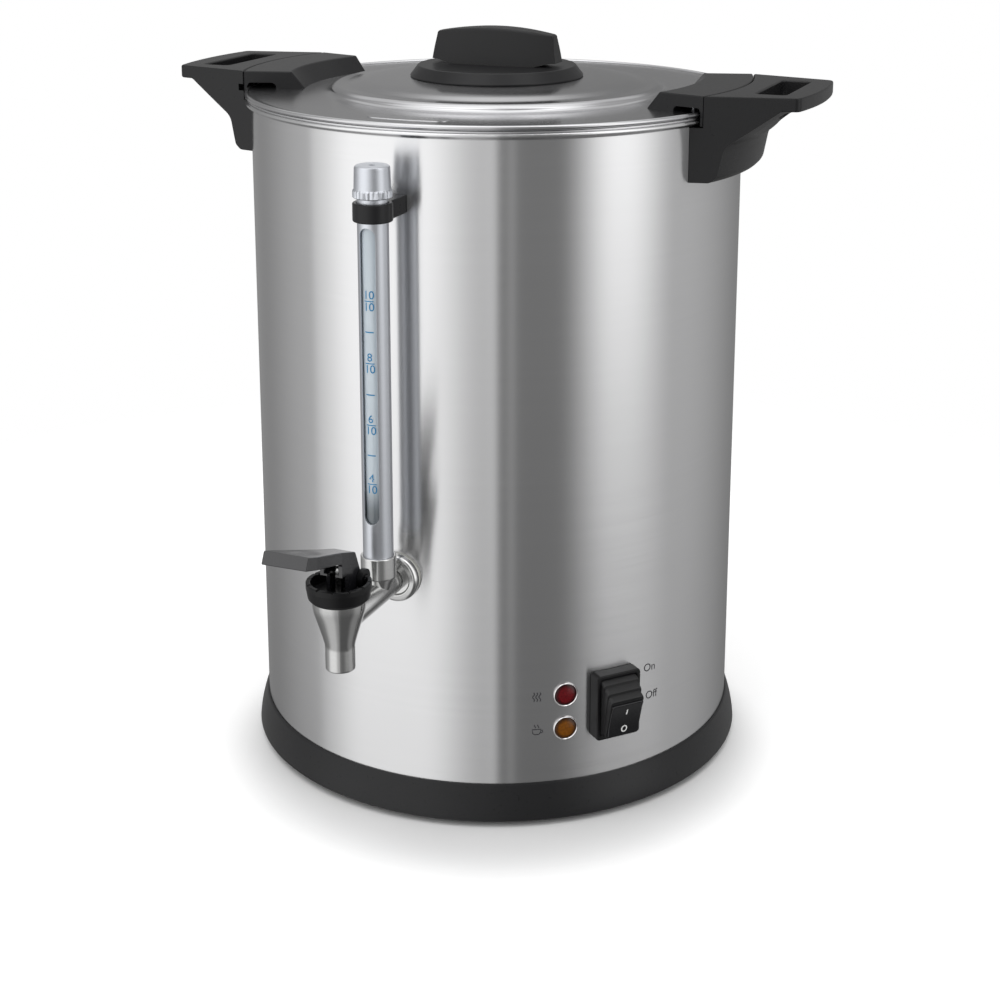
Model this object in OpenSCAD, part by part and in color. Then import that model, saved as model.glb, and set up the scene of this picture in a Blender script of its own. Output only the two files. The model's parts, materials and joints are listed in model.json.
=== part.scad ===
// Coffee urn: steel body, lift-off lid, sight gauge, lift-lever tap and percolator insert.
// Millimetres, +Z up. The origin is on the body's axis, on the surface that the urn stands on.
// The tap faces -Y and the handles lie along X.

/* [Body] */
// Outer diameter of the steel body
body_d = 280; // [270:1:300]
// Height of the steel wall above the base ring
body_h = 360; // [350:1:390]
// Sheet thickness of the body
shell_wall = 0.8; // [0.6:0.1:1]
// Thickness of the rolled bead at the rim
bead_d = 2.8; // [2.4:0.1:3.2]
// How far the rim bead stands out from the wall
bead_out = 3.5; // [3.3:0.1:4]

/* [Base] */
// Height of the rubber feet
foot_h = 3; // [2.8:0.2:6]
// Diameter of the rubber feet
foot_d = 22; // [18:1:26]
// Distance of the feet's centres inside the body wall
foot_inset = 20; // [18:1:23]
// Height of the base ring
base_h = 20.5; // [18:0.5:26]
// How far the base ring flares out at its foot
base_flare = 4.6; // [3:0.2:7]
// How far the steel wall sits down in the base ring
base_seat = 3.5; // [3:0.5:6]
// Thickness of the base ring's wall under the steel
base_wall = 3; // [2.5:0.5:4]
// Distance of the base flange's inner edge inside the body wall
flange_inset = 34; // [33:1:40]
// Thickness of the base ring's flange
flange_t = 3; // [2:0.5:4]
// Thickness of the bottom plate
plate_t = 1; // [0.8:0.2:2]
// Diameter of the screws that hold the feet and the bottom plate
foot_screw_d = 4; // [3:0.5:5]

/* [Tank] */
// Gap between the body wall and the tank
tank_gap = 5.2; // [5:0.2:7]
// Sheet thickness of the tank
tank_wall = 0.8; // [0.6:0.1:1.2]
// Depth of the tank floor below the tap's axis
tank_sump = 15.6; // [14.4:0.2:20]

/* [Heater] */
// Diameter of the heat spreader under the tank floor
spreader_d = 170; // [160:1:200]
// Thickness of the heat spreader
spreader_t = 5; // [4:0.5:8]
// Diameter of the heating element's ring, at the middle of its tube
element_d = 120; // [110:1:140]
// Diameter of the heating element's tube
element_tube_d = 8; // [6.5:0.5:10]
// Diameter of the thermostat and of the cut-out
stat_d = 17; // [14:0.5:20]
// Height of the thermostat and of the cut-out
stat_h = 11; // [9:0.5:14]
// Distance of the thermostat and of the cut-out from the axis
stat_off = 30; // [24:1:36]

/* [Lid] */
// Sheet thickness of the lid
lid_wall = 0.8; // [0.6:0.1:1]
// Radius where the lid's raised middle begins
lid_step_r = 96; // [92:1:104]
// Radius of the ridge at the edge of the raised middle
lid_ridge_r = 88; // [80:1:90]
// Height of the ridge above the lid's flat rim
lid_step_h = 4.6; // [3:0.2:8]
// Rise of the dome from the ridge to the knob's collar
lid_dome_h = 3.4; // [2:0.2:6]
// Depth of the ring under the lid that centres it in the tank
lid_plug_h = 8; // [6:0.5:12]
// Diameter of the knob's collar at its foot
collar_d = 100; // [90:1:110]
// Diameter of the knob's collar at its top
collar_top_d = 90; // [82:1:98]
// Height of the knob's collar
collar_h = 6.5; // [5:0.5:10]
// Length of the knob's bar
knob_l = 76; // [60:1:80]
// Width of the knob's bar at its middle
knob_w = 20; // [16:1:26]
// Height of the knob's bar
knob_h = 21; // [16:1:28]
// How much narrower the bar is at each end than at its middle, per side
knob_belly = 4; // [2:0.5:5]
// How much the bar tapers towards its top, per side
knob_taper = 2.4; // [1:0.2:3.5]
// Rise of the bar's arched top
knob_crown = 3.5; // [1.5:0.5:5]
// Diameter of the screw that holds the knob
knob_screw_d = 6; // [5:0.5:8]

/* [Handles] */
// Distance of the seam between handle and lid wing outside the body wall
seam_out = 6; // [5.6:0.1:8]
// Gap between handle and lid wing
seam_gap = 0.5; // [0.4:0.1:1]
// Reach of the handles beyond the body wall
handle_out = 49.5; // [47:0.5:60]
// Width of the handle at the seam
handle_w = 100; // [92:1:108]
// Width of the handle at its outer end
handle_end_w = 77; // [72:1:90]
// Radius of the handle's outer edge, seen from above
handle_end_r = 200; // [150:5:400]
// Height of the handle's top above the body's rim
handle_rise = 12.5; // [12:0.5:18]
// Thickness of the grip
grip_t = 7.4; // [6:0.2:9]
// Width of the bar outside the finger slot
grip_bar = 14; // [10:0.5:16]
// Width of the finger slot
slot_w = 16.4; // [14:0.2:18]
// Length of the finger slot
slot_l = 60; // [54:1:64]
// Height of the bracket, from the grip's top to its foot
bracket_h = 46; // [42:1:60]
// Depth of the bracket at its foot
bracket_t = 12.5; // [11:0.5:15]
// Distance between the two screws of a handle
handle_screw_gap = 50; // [40:1:60]
// Diameter of the handle and wing screws
handle_screw_d = 4; // [3:0.5:5]
// Distance of the wing's inner edge inside the body wall
wing_in = 22; // [18:1:26]
// How far the wing's inner face slopes inwards towards its foot
wing_slope = 8; // [4:0.5:10]
// Width of the wing at its inner edge
wing_in_w = 84; // [76:1:92]

/* [Tap] */
// Height of the tap's axis above the base ring's top
tap_up = 118.1; // [112:0.1:130]
// Distance of the spout's axis from the body wall
tap_reach = 69; // [66:0.5:80]
// Outer diameter of the tap's pipe
pipe_d = 13.5; // [12.5:0.1:15]
// Bore of the tap's pipe
pipe_bore = 9; // [7:0.5:10]
// Diameter of the flange on the body wall
tap_flange_d = 26.5; // [23:0.5:28]
// Thickness of the flange on the body wall
tap_flange_t = 3; // [2.5:0.5:4]
// Diameter of the spout at its top
cup_d = 27.5; // [27:0.1:28]
// Height of the spout's top above the tap's axis
cup_up = 13.7; // [13.3:0.2:16]
// Diameter of the nozzle
nozzle_d = 15.3; // [14.5:0.1:16]
// Bore of the nozzle
nozzle_bore = 11.4; // [10:0.2:12.4]
// Depth of the nozzle's end below the tap's axis
nozzle_drop = 23.8; // [22:0.2:30]
// Length of the nozzle's straight part
nozzle_l = 11.4; // [8:0.2:12]
// Diameter of the valve's throat
throat_d = 9; // [7:0.5:9.6]
// Diameter of the seat plug
plug_d = 11.6; // [11:0.2:12.4]
// Height of the seat plug
plug_h = 6.6; // [5:0.2:7]
// Diameter of the valve stem
stem_d = 4; // [3.5:0.1:4.2]
// Diameter of the ball at the stem's top
ball_d = 6; // [5.6:0.1:6.2]

/* [Bonnet and lever] */
// Diameter of the bonnet at its foot
bonnet_d = 29.3; // [28.6:0.1:31]
// Diameter of the bonnet at its top
bonnet_top_d = 33.3; // [32.6:0.1:35]
// Height of the bonnet
bonnet_h = 10.1; // [9.7:0.1:12]
// Distance of the pivot pin behind the spout's axis
pivot_back = 12; // [11.6:0.1:12.6]
// Diameter of the pivot pin
pivot_d = 3; // [2.5:0.1:3.4]
// Length of the lever in front of the spout's axis
lever_l = 53; // [46:1:64]
// Width of the lever at its front end
lever_w = 22.8; // [18:0.2:28]
// Width of the lever between the ears
lever_hub_w = 12.4; // [12:0.2:13]
// Thickness of the lever's paddle
lever_t = 5.7; // [4.5:0.1:6]
// Slope of the lever at rest
lever_slope = 18.5; // [14:0.5:22]
// Height of the lever's top above the bonnet, on the spout's axis
lever_rise = 16; // [15.6:0.1:18]

/* [Sight gauge] */
// Distance of the gauge's axis from the body wall
gauge_off = 23.5; // [22.5:0.5:28]
// Outer diameter of the slotted sleeve
gauge_d = 16; // [15.6:0.1:17]
// Wall of the slotted sleeve
gauge_wall = 1.2; // [1:0.1:1.4]
// Outer diameter of the glass
glass_d = 12.6; // [11.6:0.1:12.7]
// Wall of the glass
glass_wall = 1.4; // [1:0.1:2]
// Outer diameter of the socket that holds the gauge
socket_d = 18.8; // [18.6:0.1:21]
// Height of the socket's top above the tap's axis
socket_up = 21; // [19:0.5:26]
// How far the sleeve sits down in the socket
socket_seat = 8; // [6:0.5:9]
// Width of the sight slot
sight_w = 8.5; // [7:0.1:10]
// Height of the sight slot's lower end above the socket
sight_up = 19; // [10:0.5:30]
// Depth of the clamp's top below the body's rim
clamp_drop = 33; // [28:0.5:45]
// Height of the clamp
clamp_h = 9.7; // [8:0.1:13]
// Outer diameter of the clamp's loop
clamp_d = 20.5; // [20:0.1:24]
// Width of the clamp's arm
clamp_arm_w = 15; // [13:0.5:18]
// Diameter of the clamp's screw
clamp_screw_d = 3.5; // [3:0.1:4]
// Gap between the clamp and the cap
cap_gap = 2.4; // [1:0.1:5]
// Height of the cap
cap_h = 16.3; // [14:0.1:20]
// Diameter of the cap at its top
cap_d = 18; // [17.8:0.1:19]
// Diameter of the cap's knurled ring
cap_ring_d = 20; // [19.4:0.1:22]
// Height of the cap's knurled ring
cap_ring_h = 4.2; // [3:0.1:6]
// Diameter of the vent hole in the cap
vent_d = 3; // [1.5:0.1:4]

/* [Switch and lamps] */
// Angle of the switch from the tap's side, towards +X
switch_a = 49.2; // [48:0.1:60]
// Height of the switch's centre above the base ring's top
switch_up = 43.1; // [34:0.1:60]
// Width of the switch's bezel
bezel_w = 27.2; // [26.6:0.2:32]
// Height of the switch's bezel
bezel_h = 38; // [37:0.5:44]
// How far the bezel stands off the body wall
bezel_t = 8.5; // [7.5:0.1:10]
// Width of the rim of the bezel
bezel_rim = 2.4; // [2:0.1:2.6]
// How far the splash boot stands off the body wall
boot_t = 10.3; // [9.5:0.1:10.5]
// Height of the rocker
rocker_h = 21.4; // [18:0.2:21.6]
// How far the rocker's face stands off the body wall when it is level
rocker_out = 16.3; // [15.5:0.1:17]
// Tilt of the rocker, on or off
rocker_tilt = 15; // [12:0.5:15]
// Angle of the lamps from the tap's side, towards +X
lamp_a = 37.8; // [34:0.1:39]
// Height of the amber lamp above the base ring's top
lamp_up = 31.2; // [24:0.1:50]
// Distance between the two lamps
lamp_gap = 19.8; // [17:0.1:26]
// Diameter of a lamp's bezel
lamp_bezel_d = 13.7; // [13:0.1:16]
// Diameter of a lamp's lens
lamp_d = 10; // [8:0.1:10.6]

/* [Mains inlet] */
// Height of the inlet's centre above the base ring's top
inlet_up = 30; // [24:1:60]
// Width of the inlet's frame
inlet_w = 32; // [31:0.5:38]
// Height of the inlet's frame
inlet_h = 26; // [25:0.5:32]
// Width of the inlet's socket
inlet_bore_w = 24.4; // [23:0.2:26]
// Height of the inlet's socket
inlet_bore_h = 16.6; // [16:0.2:19]
// Depth of the inlet's socket
inlet_depth = 17; // [15:0.5:22]

/* [Percolator] */
// Outer diameter of the riser tube
riser_d = 14; // [12:0.5:16]
// Bore of the riser tube
riser_bore = 11; // [8:0.5:11]
// Outer diameter of the pump foot
pump_d = 80; // [70:1:100]
// Height of the pump foot
pump_h = 16; // [13:0.5:22]
// Depth of the riser's top below the body's rim
riser_drop = 10; // [7:0.5:20]
// Outer diameter of the filter basket
basket_d = 176; // [150:1:200]
// Height of the filter basket
basket_h = 60; // [45:1:70]
// Depth of the basket's top below the body's rim
basket_drop = 19; // [17:0.5:30]
// Sheet thickness of the basket, its cover and the pump foot
basket_wall = 0.8; // [0.6:0.1:1.2]
// Diameter of the basket's holes
sieve_d = 3; // [2:0.5:4]

/* [Hidden] */
$fn = 96;
// Clearance of pieces that sit on a curved wall
wall_fit = 0.15;
// Clearance between pieces that move past each other
run_fit = 0.3;
// Clearance of a screw or tube in its hole
hole_fit = 0.2;
// Clearance of the pivot pin in its holes
pin_fit = 0.12;
// Overshoot of cuts beyond the faces they open
cut = 1;

body_r = body_d / 2;
z_wall = foot_h + base_h;
z_rim = z_wall + body_h;
bead_cr = body_r + bead_out - bead_d / 2;

z_flange = foot_h + flange_t;
z_plate = z_flange + plate_t;
foot_r = body_r - foot_inset;
foot_head_d = foot_screw_d * 2;
foot_head_h = foot_screw_d * 0.55;
base_lip = 1;

tap_z = z_wall + tap_up;
tank_r = body_r - shell_wall - tank_gap;
tank_in_r = tank_r - tank_wall;
z_floor = tap_z - tank_sump;
z_spreader = z_floor - tank_wall - spreader_t;
element_leg_l = 22;
element_leg_x = 14;

z_lid_bead = z_rim + tank_wall + run_fit + bead_d / 2;
z_lid = z_lid_bead + lid_wall / 2;
z_lid_top = z_lid + lid_step_h + lid_dome_h;
lid_plug_r = tank_in_r - 0.8;
z_collar = z_lid_top + collar_h;

seam_r = body_r + seam_out;
wing_out_r = seam_r - seam_gap;
z_handle = z_rim + handle_rise;
z_grip = z_handle - grip_t;
z_bracket = z_handle - bracket_h;
z_ledge = z_rim - bead_d - 1.5;
handle_reach = body_r + handle_out;
seam_x = sqrt(pow(seam_r, 2) - pow(handle_w / 2, 2));
bracket_kink_h = 19;
bracket_kink_out = 3;
bracket_toe = 3;
grip_foot_out = handle_out - 8.5;
slot_x = handle_reach - grip_bar - slot_w;
z_handle_screw = z_bracket + 14;
screw_head_h = 2.2;

spout_y = -(body_r + tap_reach);
z_cup = tap_z + cup_up;
z_nozzle = tap_z - nozzle_drop;
z_throat = z_nozzle + nozzle_l;
z_seat = z_throat + 4;
neck_r = cup_d / 2 - 1.75;
z_neck = z_cup + 1.8;
bonnet_seal_t = 1;
z_cup_floor = z_neck + bonnet_seal_t;
bonnet_floor_t = 1.4;
z_hub = z_cup_floor + bonnet_floor_t;
z_bonnet = z_cup + bonnet_h;
pivot_r = pivot_d / 2 + 1.7;
z_pivot = z_hub + pivot_r + 0.6;
ear_t = 2.8;
ear_r = pivot_r + 1.8;
ear_in = lever_hub_w / 2 + run_fit;
lever_wall = 2;
lever_web_t = 2;
z_ball = z_bonnet + lever_rise - 6.7;
z_web = z_ball - ball_d / 2 - 0.2;
plug_z = z_seat + 0.25;

gauge_y = -(body_r + gauge_off);
z_socket = tap_z + socket_up;
z_sleeve = z_socket - socket_seat;
gauge_in_d = gauge_d - 2 * gauge_wall;
z_clamp_top = z_rim - clamp_drop;
z_clamp = z_clamp_top - clamp_h;
z_cap = z_clamp_top + cap_gap;
cap_cover = 8;
z_sleeve_top = z_cap + cap_cover;
z_sight = z_socket + sight_up;
z_sight_top = z_clamp - 2.5;
seal_h = 4;

z_switch = z_wall + switch_up;
boot_w = bezel_w - 2 * bezel_rim - hole_fit;
boot_h = bezel_h - 2 * bezel_rim - hole_fit;
boot_wall = 1.2;
window_w = boot_w - 2 * boot_wall;
window_h = boot_h - 2 * boot_wall;
rocker_w = window_w - 2 * run_fit;
rocker_pivot_r = body_r - 4;
rocker_cap_t = 12.5;
rocker_neck_w = 14;
rocker_neck_h = 8;
trunnion_d = 4;
trunnion_l = 17;
housing_w = window_w + 0.8;
housing_h = window_h - 1.8;
housing_d = 26;

z_amber = z_wall + lamp_up;
z_red = z_amber + lamp_gap;
lamp_bezel_t = 2.2;
lamp_back = 24;

z_inlet = z_wall + inlet_up;
inlet_t = 3;
inlet_wall = 2;

z_riser = z_floor + run_fit + pump_h;
z_riser_top = z_rim - riser_drop;
z_basket_top = z_rim - basket_drop;
z_basket = z_basket_top - basket_h;
stop_d = riser_d + 10;
stop_h = 3;
sleeve_wall = 2.4;
sieve_rows = 4;
sieve_in = 14;
sieve_edge = 12;

steel = [0.74, 0.74, 0.75];
plain_steel = [0.62, 0.63, 0.65];
black = [0.13, 0.13, 0.14];
rubber_grey = [0.2, 0.2, 0.2];
silicone = [0.82, 0.82, 0.78];

// A ring about the Z axis
module ring(outer_r, inner_r, z0, z1) {
    difference() {
        translate([0, 0, z0]) cylinder(r = outer_r, h = z1 - z0);
        translate([0, 0, z0 - cut]) cylinder(r = inner_r, h = z1 - z0 + 2 * cut);
    }
}

// A rod along -Y that starts at y0
module rod_out(y0, l, d) {
    translate([0, y0, 0]) rotate([90, 0, 0]) cylinder(d = d, h = l);
}

// Puts its children on the body wall at an angle from the tap's side, with -Y pointing out of the wall
module on_wall(a, z) {
    rotate([0, 0, a]) translate([0, 0, z]) children();
}

// A box centred in X and Z, between two distances from the body's axis along -Y
module wall_box(w, h, near, far) {
    translate([-w / 2, -far, -h / 2]) cube([w, far - near, h]);
}

// Extrudes an outline drawn as (distance in front of the spout's axis, height) across X
module side_plate(w) {
    translate([0, spout_y, 0]) rotate([90, 0, -90]) linear_extrude(w, center = true) children();
}

// A pan-head screw along +Z with its head's flat underside at z = 0
module screw(d, l) {
    translate([0, 0, -screw_head_h]) cylinder(d = d * 2, h = screw_head_h);
    cylinder(d = d, h = l);
}

// The body wall's outside, grown by a clearance
module wall_solid(fit = wall_fit) {
    translate([0, 0, -cut]) cylinder(r = body_r + fit, h = z_handle + 2 * cut, $fn = 288);
}

// Places of the four feet
module each_foot() {
    for (a = [45:90:315]) rotate([0, 0, a]) translate([foot_r, 0, 0]) children();
}

// Body and base

module body_shell() {
    color(steel) difference() {
        union() {
            ring(body_r, body_r - shell_wall, z_wall - base_seat, z_rim - bead_d / 2 + shell_wall / 2);
            ring(bead_cr, body_r - shell_wall, z_rim - bead_d / 2 - shell_wall / 2,
                z_rim - bead_d / 2 + shell_wall / 2);
            rotate_extrude() translate([bead_cr, z_rim - bead_d / 2]) circle(d = bead_d);
        }
        translate([0, 0, tap_z]) rod_out(-body_r + 3, 8, pipe_d + hole_fit);
        translate([0, 0, z_clamp + clamp_h / 2]) rod_out(-body_r + 3, 8, clamp_screw_d + hole_fit);
        on_wall(switch_a, z_switch)
            wall_box(housing_w + 0.8, housing_h + 0.8, body_r - 8, body_r + 3);
        for (z = [z_amber, z_red])
            on_wall(lamp_a, z) rod_out(-body_r + 3, 8, lamp_d + hole_fit);
        on_wall(180, z_inlet)
            wall_box(inlet_w - 4, inlet_h - 4, body_r - 8, body_r + 3);
        for (side = [-1, 1], y = [-1, 1])
            translate([side * (body_r - 4), y * handle_screw_gap / 2, z_handle_screw])
                rotate([0, 90, 0]) cylinder(d = handle_screw_d + hole_fit, h = 16, center = true);
    }
}

module inner_tank() {
    color(plain_steel) difference() {
        union() {
            ring(tank_r, tank_in_r, z_floor - tank_wall, z_rim + tank_wall);
            ring(bead_cr, tank_in_r, z_rim, z_rim + tank_wall);
            translate([0, 0, z_floor - tank_wall]) cylinder(r = tank_r, h = tank_wall);
        }
        translate([0, 0, tap_z]) rod_out(-tank_r + 6, 12, pipe_d + hole_fit);
    }
}

// Radius of the base ring's bulging outside, at a share of its height
function base_out(t) = body_r + base_lip + base_flare * (1 - pow(t, 1.6));

module base_ring() {
    outside = [for (i = [0:6]) [base_out(i / 6), foot_h + base_h * i / 6]];
    color(black) difference() {
        rotate_extrude() polygon(concat(outside, [
            [body_r + wall_fit, z_wall],
            [body_r + wall_fit, z_wall - base_seat],
            [body_r - base_wall, z_wall - base_seat],
            [body_r - base_wall, z_flange],
            [body_r - flange_inset, z_flange],
            [body_r - flange_inset, foot_h]]));
        each_foot() translate([0, 0, foot_h - cut])
            cylinder(d = foot_screw_d + hole_fit, h = flange_t + 2 * cut);
    }
}

module bottom_plate() {
    color(plain_steel) difference() {
        translate([0, 0, z_flange]) cylinder(r = body_r - base_wall - 1, h = plate_t);
        each_foot() translate([0, 0, z_flange - cut])
            cylinder(d = foot_screw_d + hole_fit, h = plate_t + 2 * cut);
        // Vent holes
        for (a = [0:30:330]) rotate([0, 0, a]) translate([40, 0, z_flange - cut])
            cylinder(d = 6, h = plate_t + 2 * cut);
    }
}

module rubber_feet() {
    color(rubber_grey) each_foot() difference() {
        cylinder(d = foot_d, h = foot_h);
        translate([0, 0, -cut]) cylinder(d = foot_head_d + 1, h = foot_h + 2 * cut);
    }
    // Pad that holds up the middle of the bottom plate
    color(rubber_grey) cylinder(d = foot_d, h = z_flange);
}

module foot_screws() {
    nut_h = foot_screw_d * 0.7;
    color(plain_steel) each_foot() {
        translate([0, 0, foot_h - foot_head_h]) cylinder(d = foot_head_d, h = foot_head_h);
        translate([0, 0, foot_h]) cylinder(d = foot_screw_d, h = flange_t + plate_t);
        translate([0, 0, z_plate]) cylinder(d = foot_screw_d * 1.9, h = nut_h, $fn = 6);
    }
}

// Heater and wiring

module heat_spreader() {
    color([0.7, 0.71, 0.73]) translate([0, 0, z_spreader]) cylinder(d = spreader_d, h = spreader_t);
}

module heating_element() {
    z = z_spreader - element_tube_d / 2;
    color([0.45, 0.42, 0.4]) {
        rotate_extrude() translate([element_d / 2, z]) circle(d = element_tube_d);
        for (x = [-1, 1])
            translate([x * element_leg_x, sqrt(pow(element_d / 2, 2) - pow(element_leg_x, 2)),
                z - element_leg_l]) cylinder(d = element_tube_d * 0.75, h = element_leg_l);
    }
}

// A disc thermostat hung under the heat spreader, with two blade terminals
module disc_stat(x) {
    translate([x, 0, 0]) {
        translate([0, 0, z_spreader - stat_h]) cylinder(d = stat_d, h = stat_h);
        for (y = [-1, 1])
            translate([-3.15, y * stat_d * 0.28 - 0.4, z_spreader - stat_h - 9]) cube([6.3, 0.8, 9 + cut]);
    }
}

module thermostat() {
    color([0.85, 0.82, 0.72]) disc_stat(-stat_off);
}

module boil_dry_cutout() {
    color([0.3, 0.3, 0.32]) disc_stat(stat_off);
}

module terminal_block() {
    block = [46, 20, 17];
    color([0.88, 0.88, 0.86]) translate([-block[0] / 2, 52, z_plate]) difference() {
        cube(block);
        for (x = [10, 23, 36]) translate([x, -cut, 9]) rotate([-90, 0, 0])
            cylinder(d = 6, h = block[1] + 2 * cut);
    }
}

module mains_inlet() {
    depth = inlet_depth + inlet_wall;
    color(black) on_wall(180, z_inlet) difference() {
        union() {
            difference() {
                wall_box(inlet_w, inlet_h, body_r - 4, body_r + inlet_t);
                translate([0, 0, -z_inlet]) wall_solid();
            }
            wall_box(inlet_bore_w + 2 * inlet_wall - 1, inlet_bore_h + 2 * inlet_wall - 1,
                body_r + inlet_t - depth, body_r + inlet_t);
        }
        wall_box(inlet_bore_w, inlet_bore_h, body_r + inlet_t - inlet_depth, body_r + inlet_t + cut);
    }
}

module inlet_pins() {
    pin = [2, 4];
    floor_r = body_r + inlet_t - inlet_depth;
    color([0.8, 0.75, 0.55]) on_wall(180, z_inlet) for (p = [[-7, -2], [0, 2], [7, -2]])
        translate([p[0], 0, p[1]]) wall_box(pin[0], pin[1], floor_r, floor_r + inlet_depth - 3);
}

// Handles

function handle_half(x) = handle_w / 2
    + (x - seam_x) * (handle_end_w - handle_w) / 2 / (handle_reach - seam_x);

module handle_right() {
    tall = bracket_h + 2 * cut;
    far = handle_reach + 20;
    near = body_r - 30;
    color(black) difference() {
        intersection() {
            rotate_extrude() polygon([
                [body_r + wall_fit, z_bracket],
                [body_r + bracket_t - bracket_toe, z_bracket],
                [body_r + bracket_t, z_bracket + bracket_toe],
                [body_r + bracket_t + bracket_kink_out, z_bracket + bracket_kink_h],
                [body_r + grip_foot_out, z_grip],
                [far, z_grip],
                [far, z_handle],
                [seam_r, z_handle],
                [seam_r, z_ledge],
                [body_r + wall_fit, z_ledge]]);
            translate([0, 0, z_bracket - cut]) linear_extrude(tall) polygon([
                [near, -handle_half(near)], [far, -handle_half(far)],
                [far, handle_half(far)], [near, handle_half(near)]]);
            translate([handle_reach - handle_end_r, 0, z_bracket - cut])
                cylinder(r = handle_end_r, h = tall, $fn = 192);
        }
        translate([slot_x, -slot_l / 2, z_bracket - cut]) {
            cube([slot_w, slot_l, tall]);
            cube([handle_out, slot_l, z_grip - z_bracket + cut]);
        }
        for (y = [-1, 1])
            translate([body_r - 8, y * handle_screw_gap / 2, z_handle_screw])
                rotate([0, 90, 0]) cylinder(d = handle_screw_d + hole_fit, h = 16.4);
    }
}

module handle_left() {
    mirror([1, 0, 0]) handle_right();
}

// Flat place for the screw heads on the inside of the body wall
head_x = sqrt(pow(body_r - shell_wall, 2) - pow(handle_screw_gap / 2 + handle_screw_d, 2)) - 0.1;

module handle_screws() {
    color(plain_steel) for (side = [0, 1], y = [-1, 1])
        mirror([side, 0, 0]) translate([head_x, y * handle_screw_gap / 2, z_handle_screw])
            rotate([0, 90, 0]) screw(handle_screw_d, 11.5);
}

// Switch and lamps

module switch_bezel() {
    color(black) on_wall(switch_a, z_switch) difference() {
        wall_box(bezel_w, bezel_h, body_r - 4, body_r + bezel_t);
        translate([0, 0, -z_switch]) wall_solid();
        wall_box(boot_w + hole_fit, boot_h + hole_fit, body_r - 5, body_r + bezel_t + cut);
    }
}

module switch_boot() {
    color([0.17, 0.17, 0.18]) on_wall(switch_a, z_switch) difference() {
        wall_box(boot_w, boot_h, body_r - 4, body_r + boot_t);
        translate([0, 0, -z_switch]) wall_solid();
        wall_box(window_w, window_h, body_r - 5, body_r + boot_t + cut);
    }
}

module switch_housing() {
    color(black) on_wall(switch_a, z_switch) {
        difference() {
            wall_box(housing_w, housing_h, body_r - housing_d, body_r + 0.5);
            translate([0, 0, -z_switch]) difference() {
                wall_solid(wall_fit + 20);
                translate([0, 0, -cut]) cylinder(r = body_r, h = z_handle);
            }
            // Room for the rocker's neck, with holes for its trunnions
            wall_box(rocker_neck_w + 1.2, rocker_neck_h + 5, body_r - 9.5, body_r + cut);
            translate([0, -rocker_pivot_r, 0]) rotate([0, 90, 0])
                cylinder(d = trunnion_d + pin_fit, h = trunnion_l + 2 * run_fit, center = true);
        }
        for (z = [-9, 0, 9])
            translate([0, 0, z]) wall_box(6.3, 0.8, body_r - housing_d - 8, body_r - housing_d);
    }
}

module rocker() {
    // The rocker is drawn square to the wall and then tilted with its lower end pushed in
    front = body_r + rocker_out - rocker_pivot_r;
    hollow = 0.9;
    hollow_r = (pow(rocker_h / 2, 2) + pow(hollow, 2)) / (2 * hollow);
    neck_l = front - rocker_cap_t + 1;
    color([0.1, 0.1, 0.11]) on_wall(switch_a, z_switch)
        translate([0, -rocker_pivot_r, 0]) rotate([rocker_tilt, 0, 0]) {
            difference() {
                wall_box(rocker_w, rocker_h, front - rocker_cap_t, front);
                // Shallow hollow across the face
                translate([0, -front - hollow_r + hollow, 0]) rotate([0, 90, 0])
                    cylinder(r = hollow_r, h = rocker_w + 2 * cut, center = true, $fn = 288);
            }
            wall_box(rocker_neck_w, rocker_neck_h, -3, neck_l);
            rotate([0, 90, 0]) cylinder(d = trunnion_d, h = trunnion_l, center = true);
        }
}

module lamp_bezels() {
    color([0.85, 0.85, 0.87]) for (z = [z_amber, z_red]) on_wall(lamp_a, z) difference() {
        rod_out(-body_r + 4, lamp_bezel_t + 4, lamp_bezel_d);
        translate([0, 0, -z]) wall_solid();
        rod_out(-body_r + 5, lamp_bezel_t + 8, lamp_d + hole_fit);
    }
}

// A lens with a domed face, seated on its lamp body inside the bezel
module lens(z) {
    dome_r = lamp_d;
    dome_h = dome_r - sqrt(pow(dome_r, 2) - pow(lamp_d / 2, 2));
    on_wall(lamp_a, z) intersection() {
        rod_out(-body_r, lamp_bezel_t + dome_h + cut, lamp_d);
        translate([0, -body_r - lamp_bezel_t - dome_h + dome_r, 0]) sphere(r = dome_r);
    }
}

module red_lens() {
    color([0.6, 0.03, 0.06]) lens(z_red);
}

module amber_lens() {
    color([0.75, 0.4, 0.05]) lens(z_amber);
}

module lamp_bodies() {
    color([0.9, 0.9, 0.88]) for (z = [z_amber, z_red])
        on_wall(lamp_a, z) rod_out(-body_r + lamp_back, lamp_back, lamp_d);
}

// Tap

tap_seat = 1.2;
tap_nut_t = 7;
tap_gasket_t = 2;
// Inner side of the tank wall at the edge of the tap's washer
washer_y = -sqrt(pow(tank_in_r, 2) - pow(tap_flange_d / 2, 2));
nut_y = washer_y + tap_gasket_t;

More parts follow.
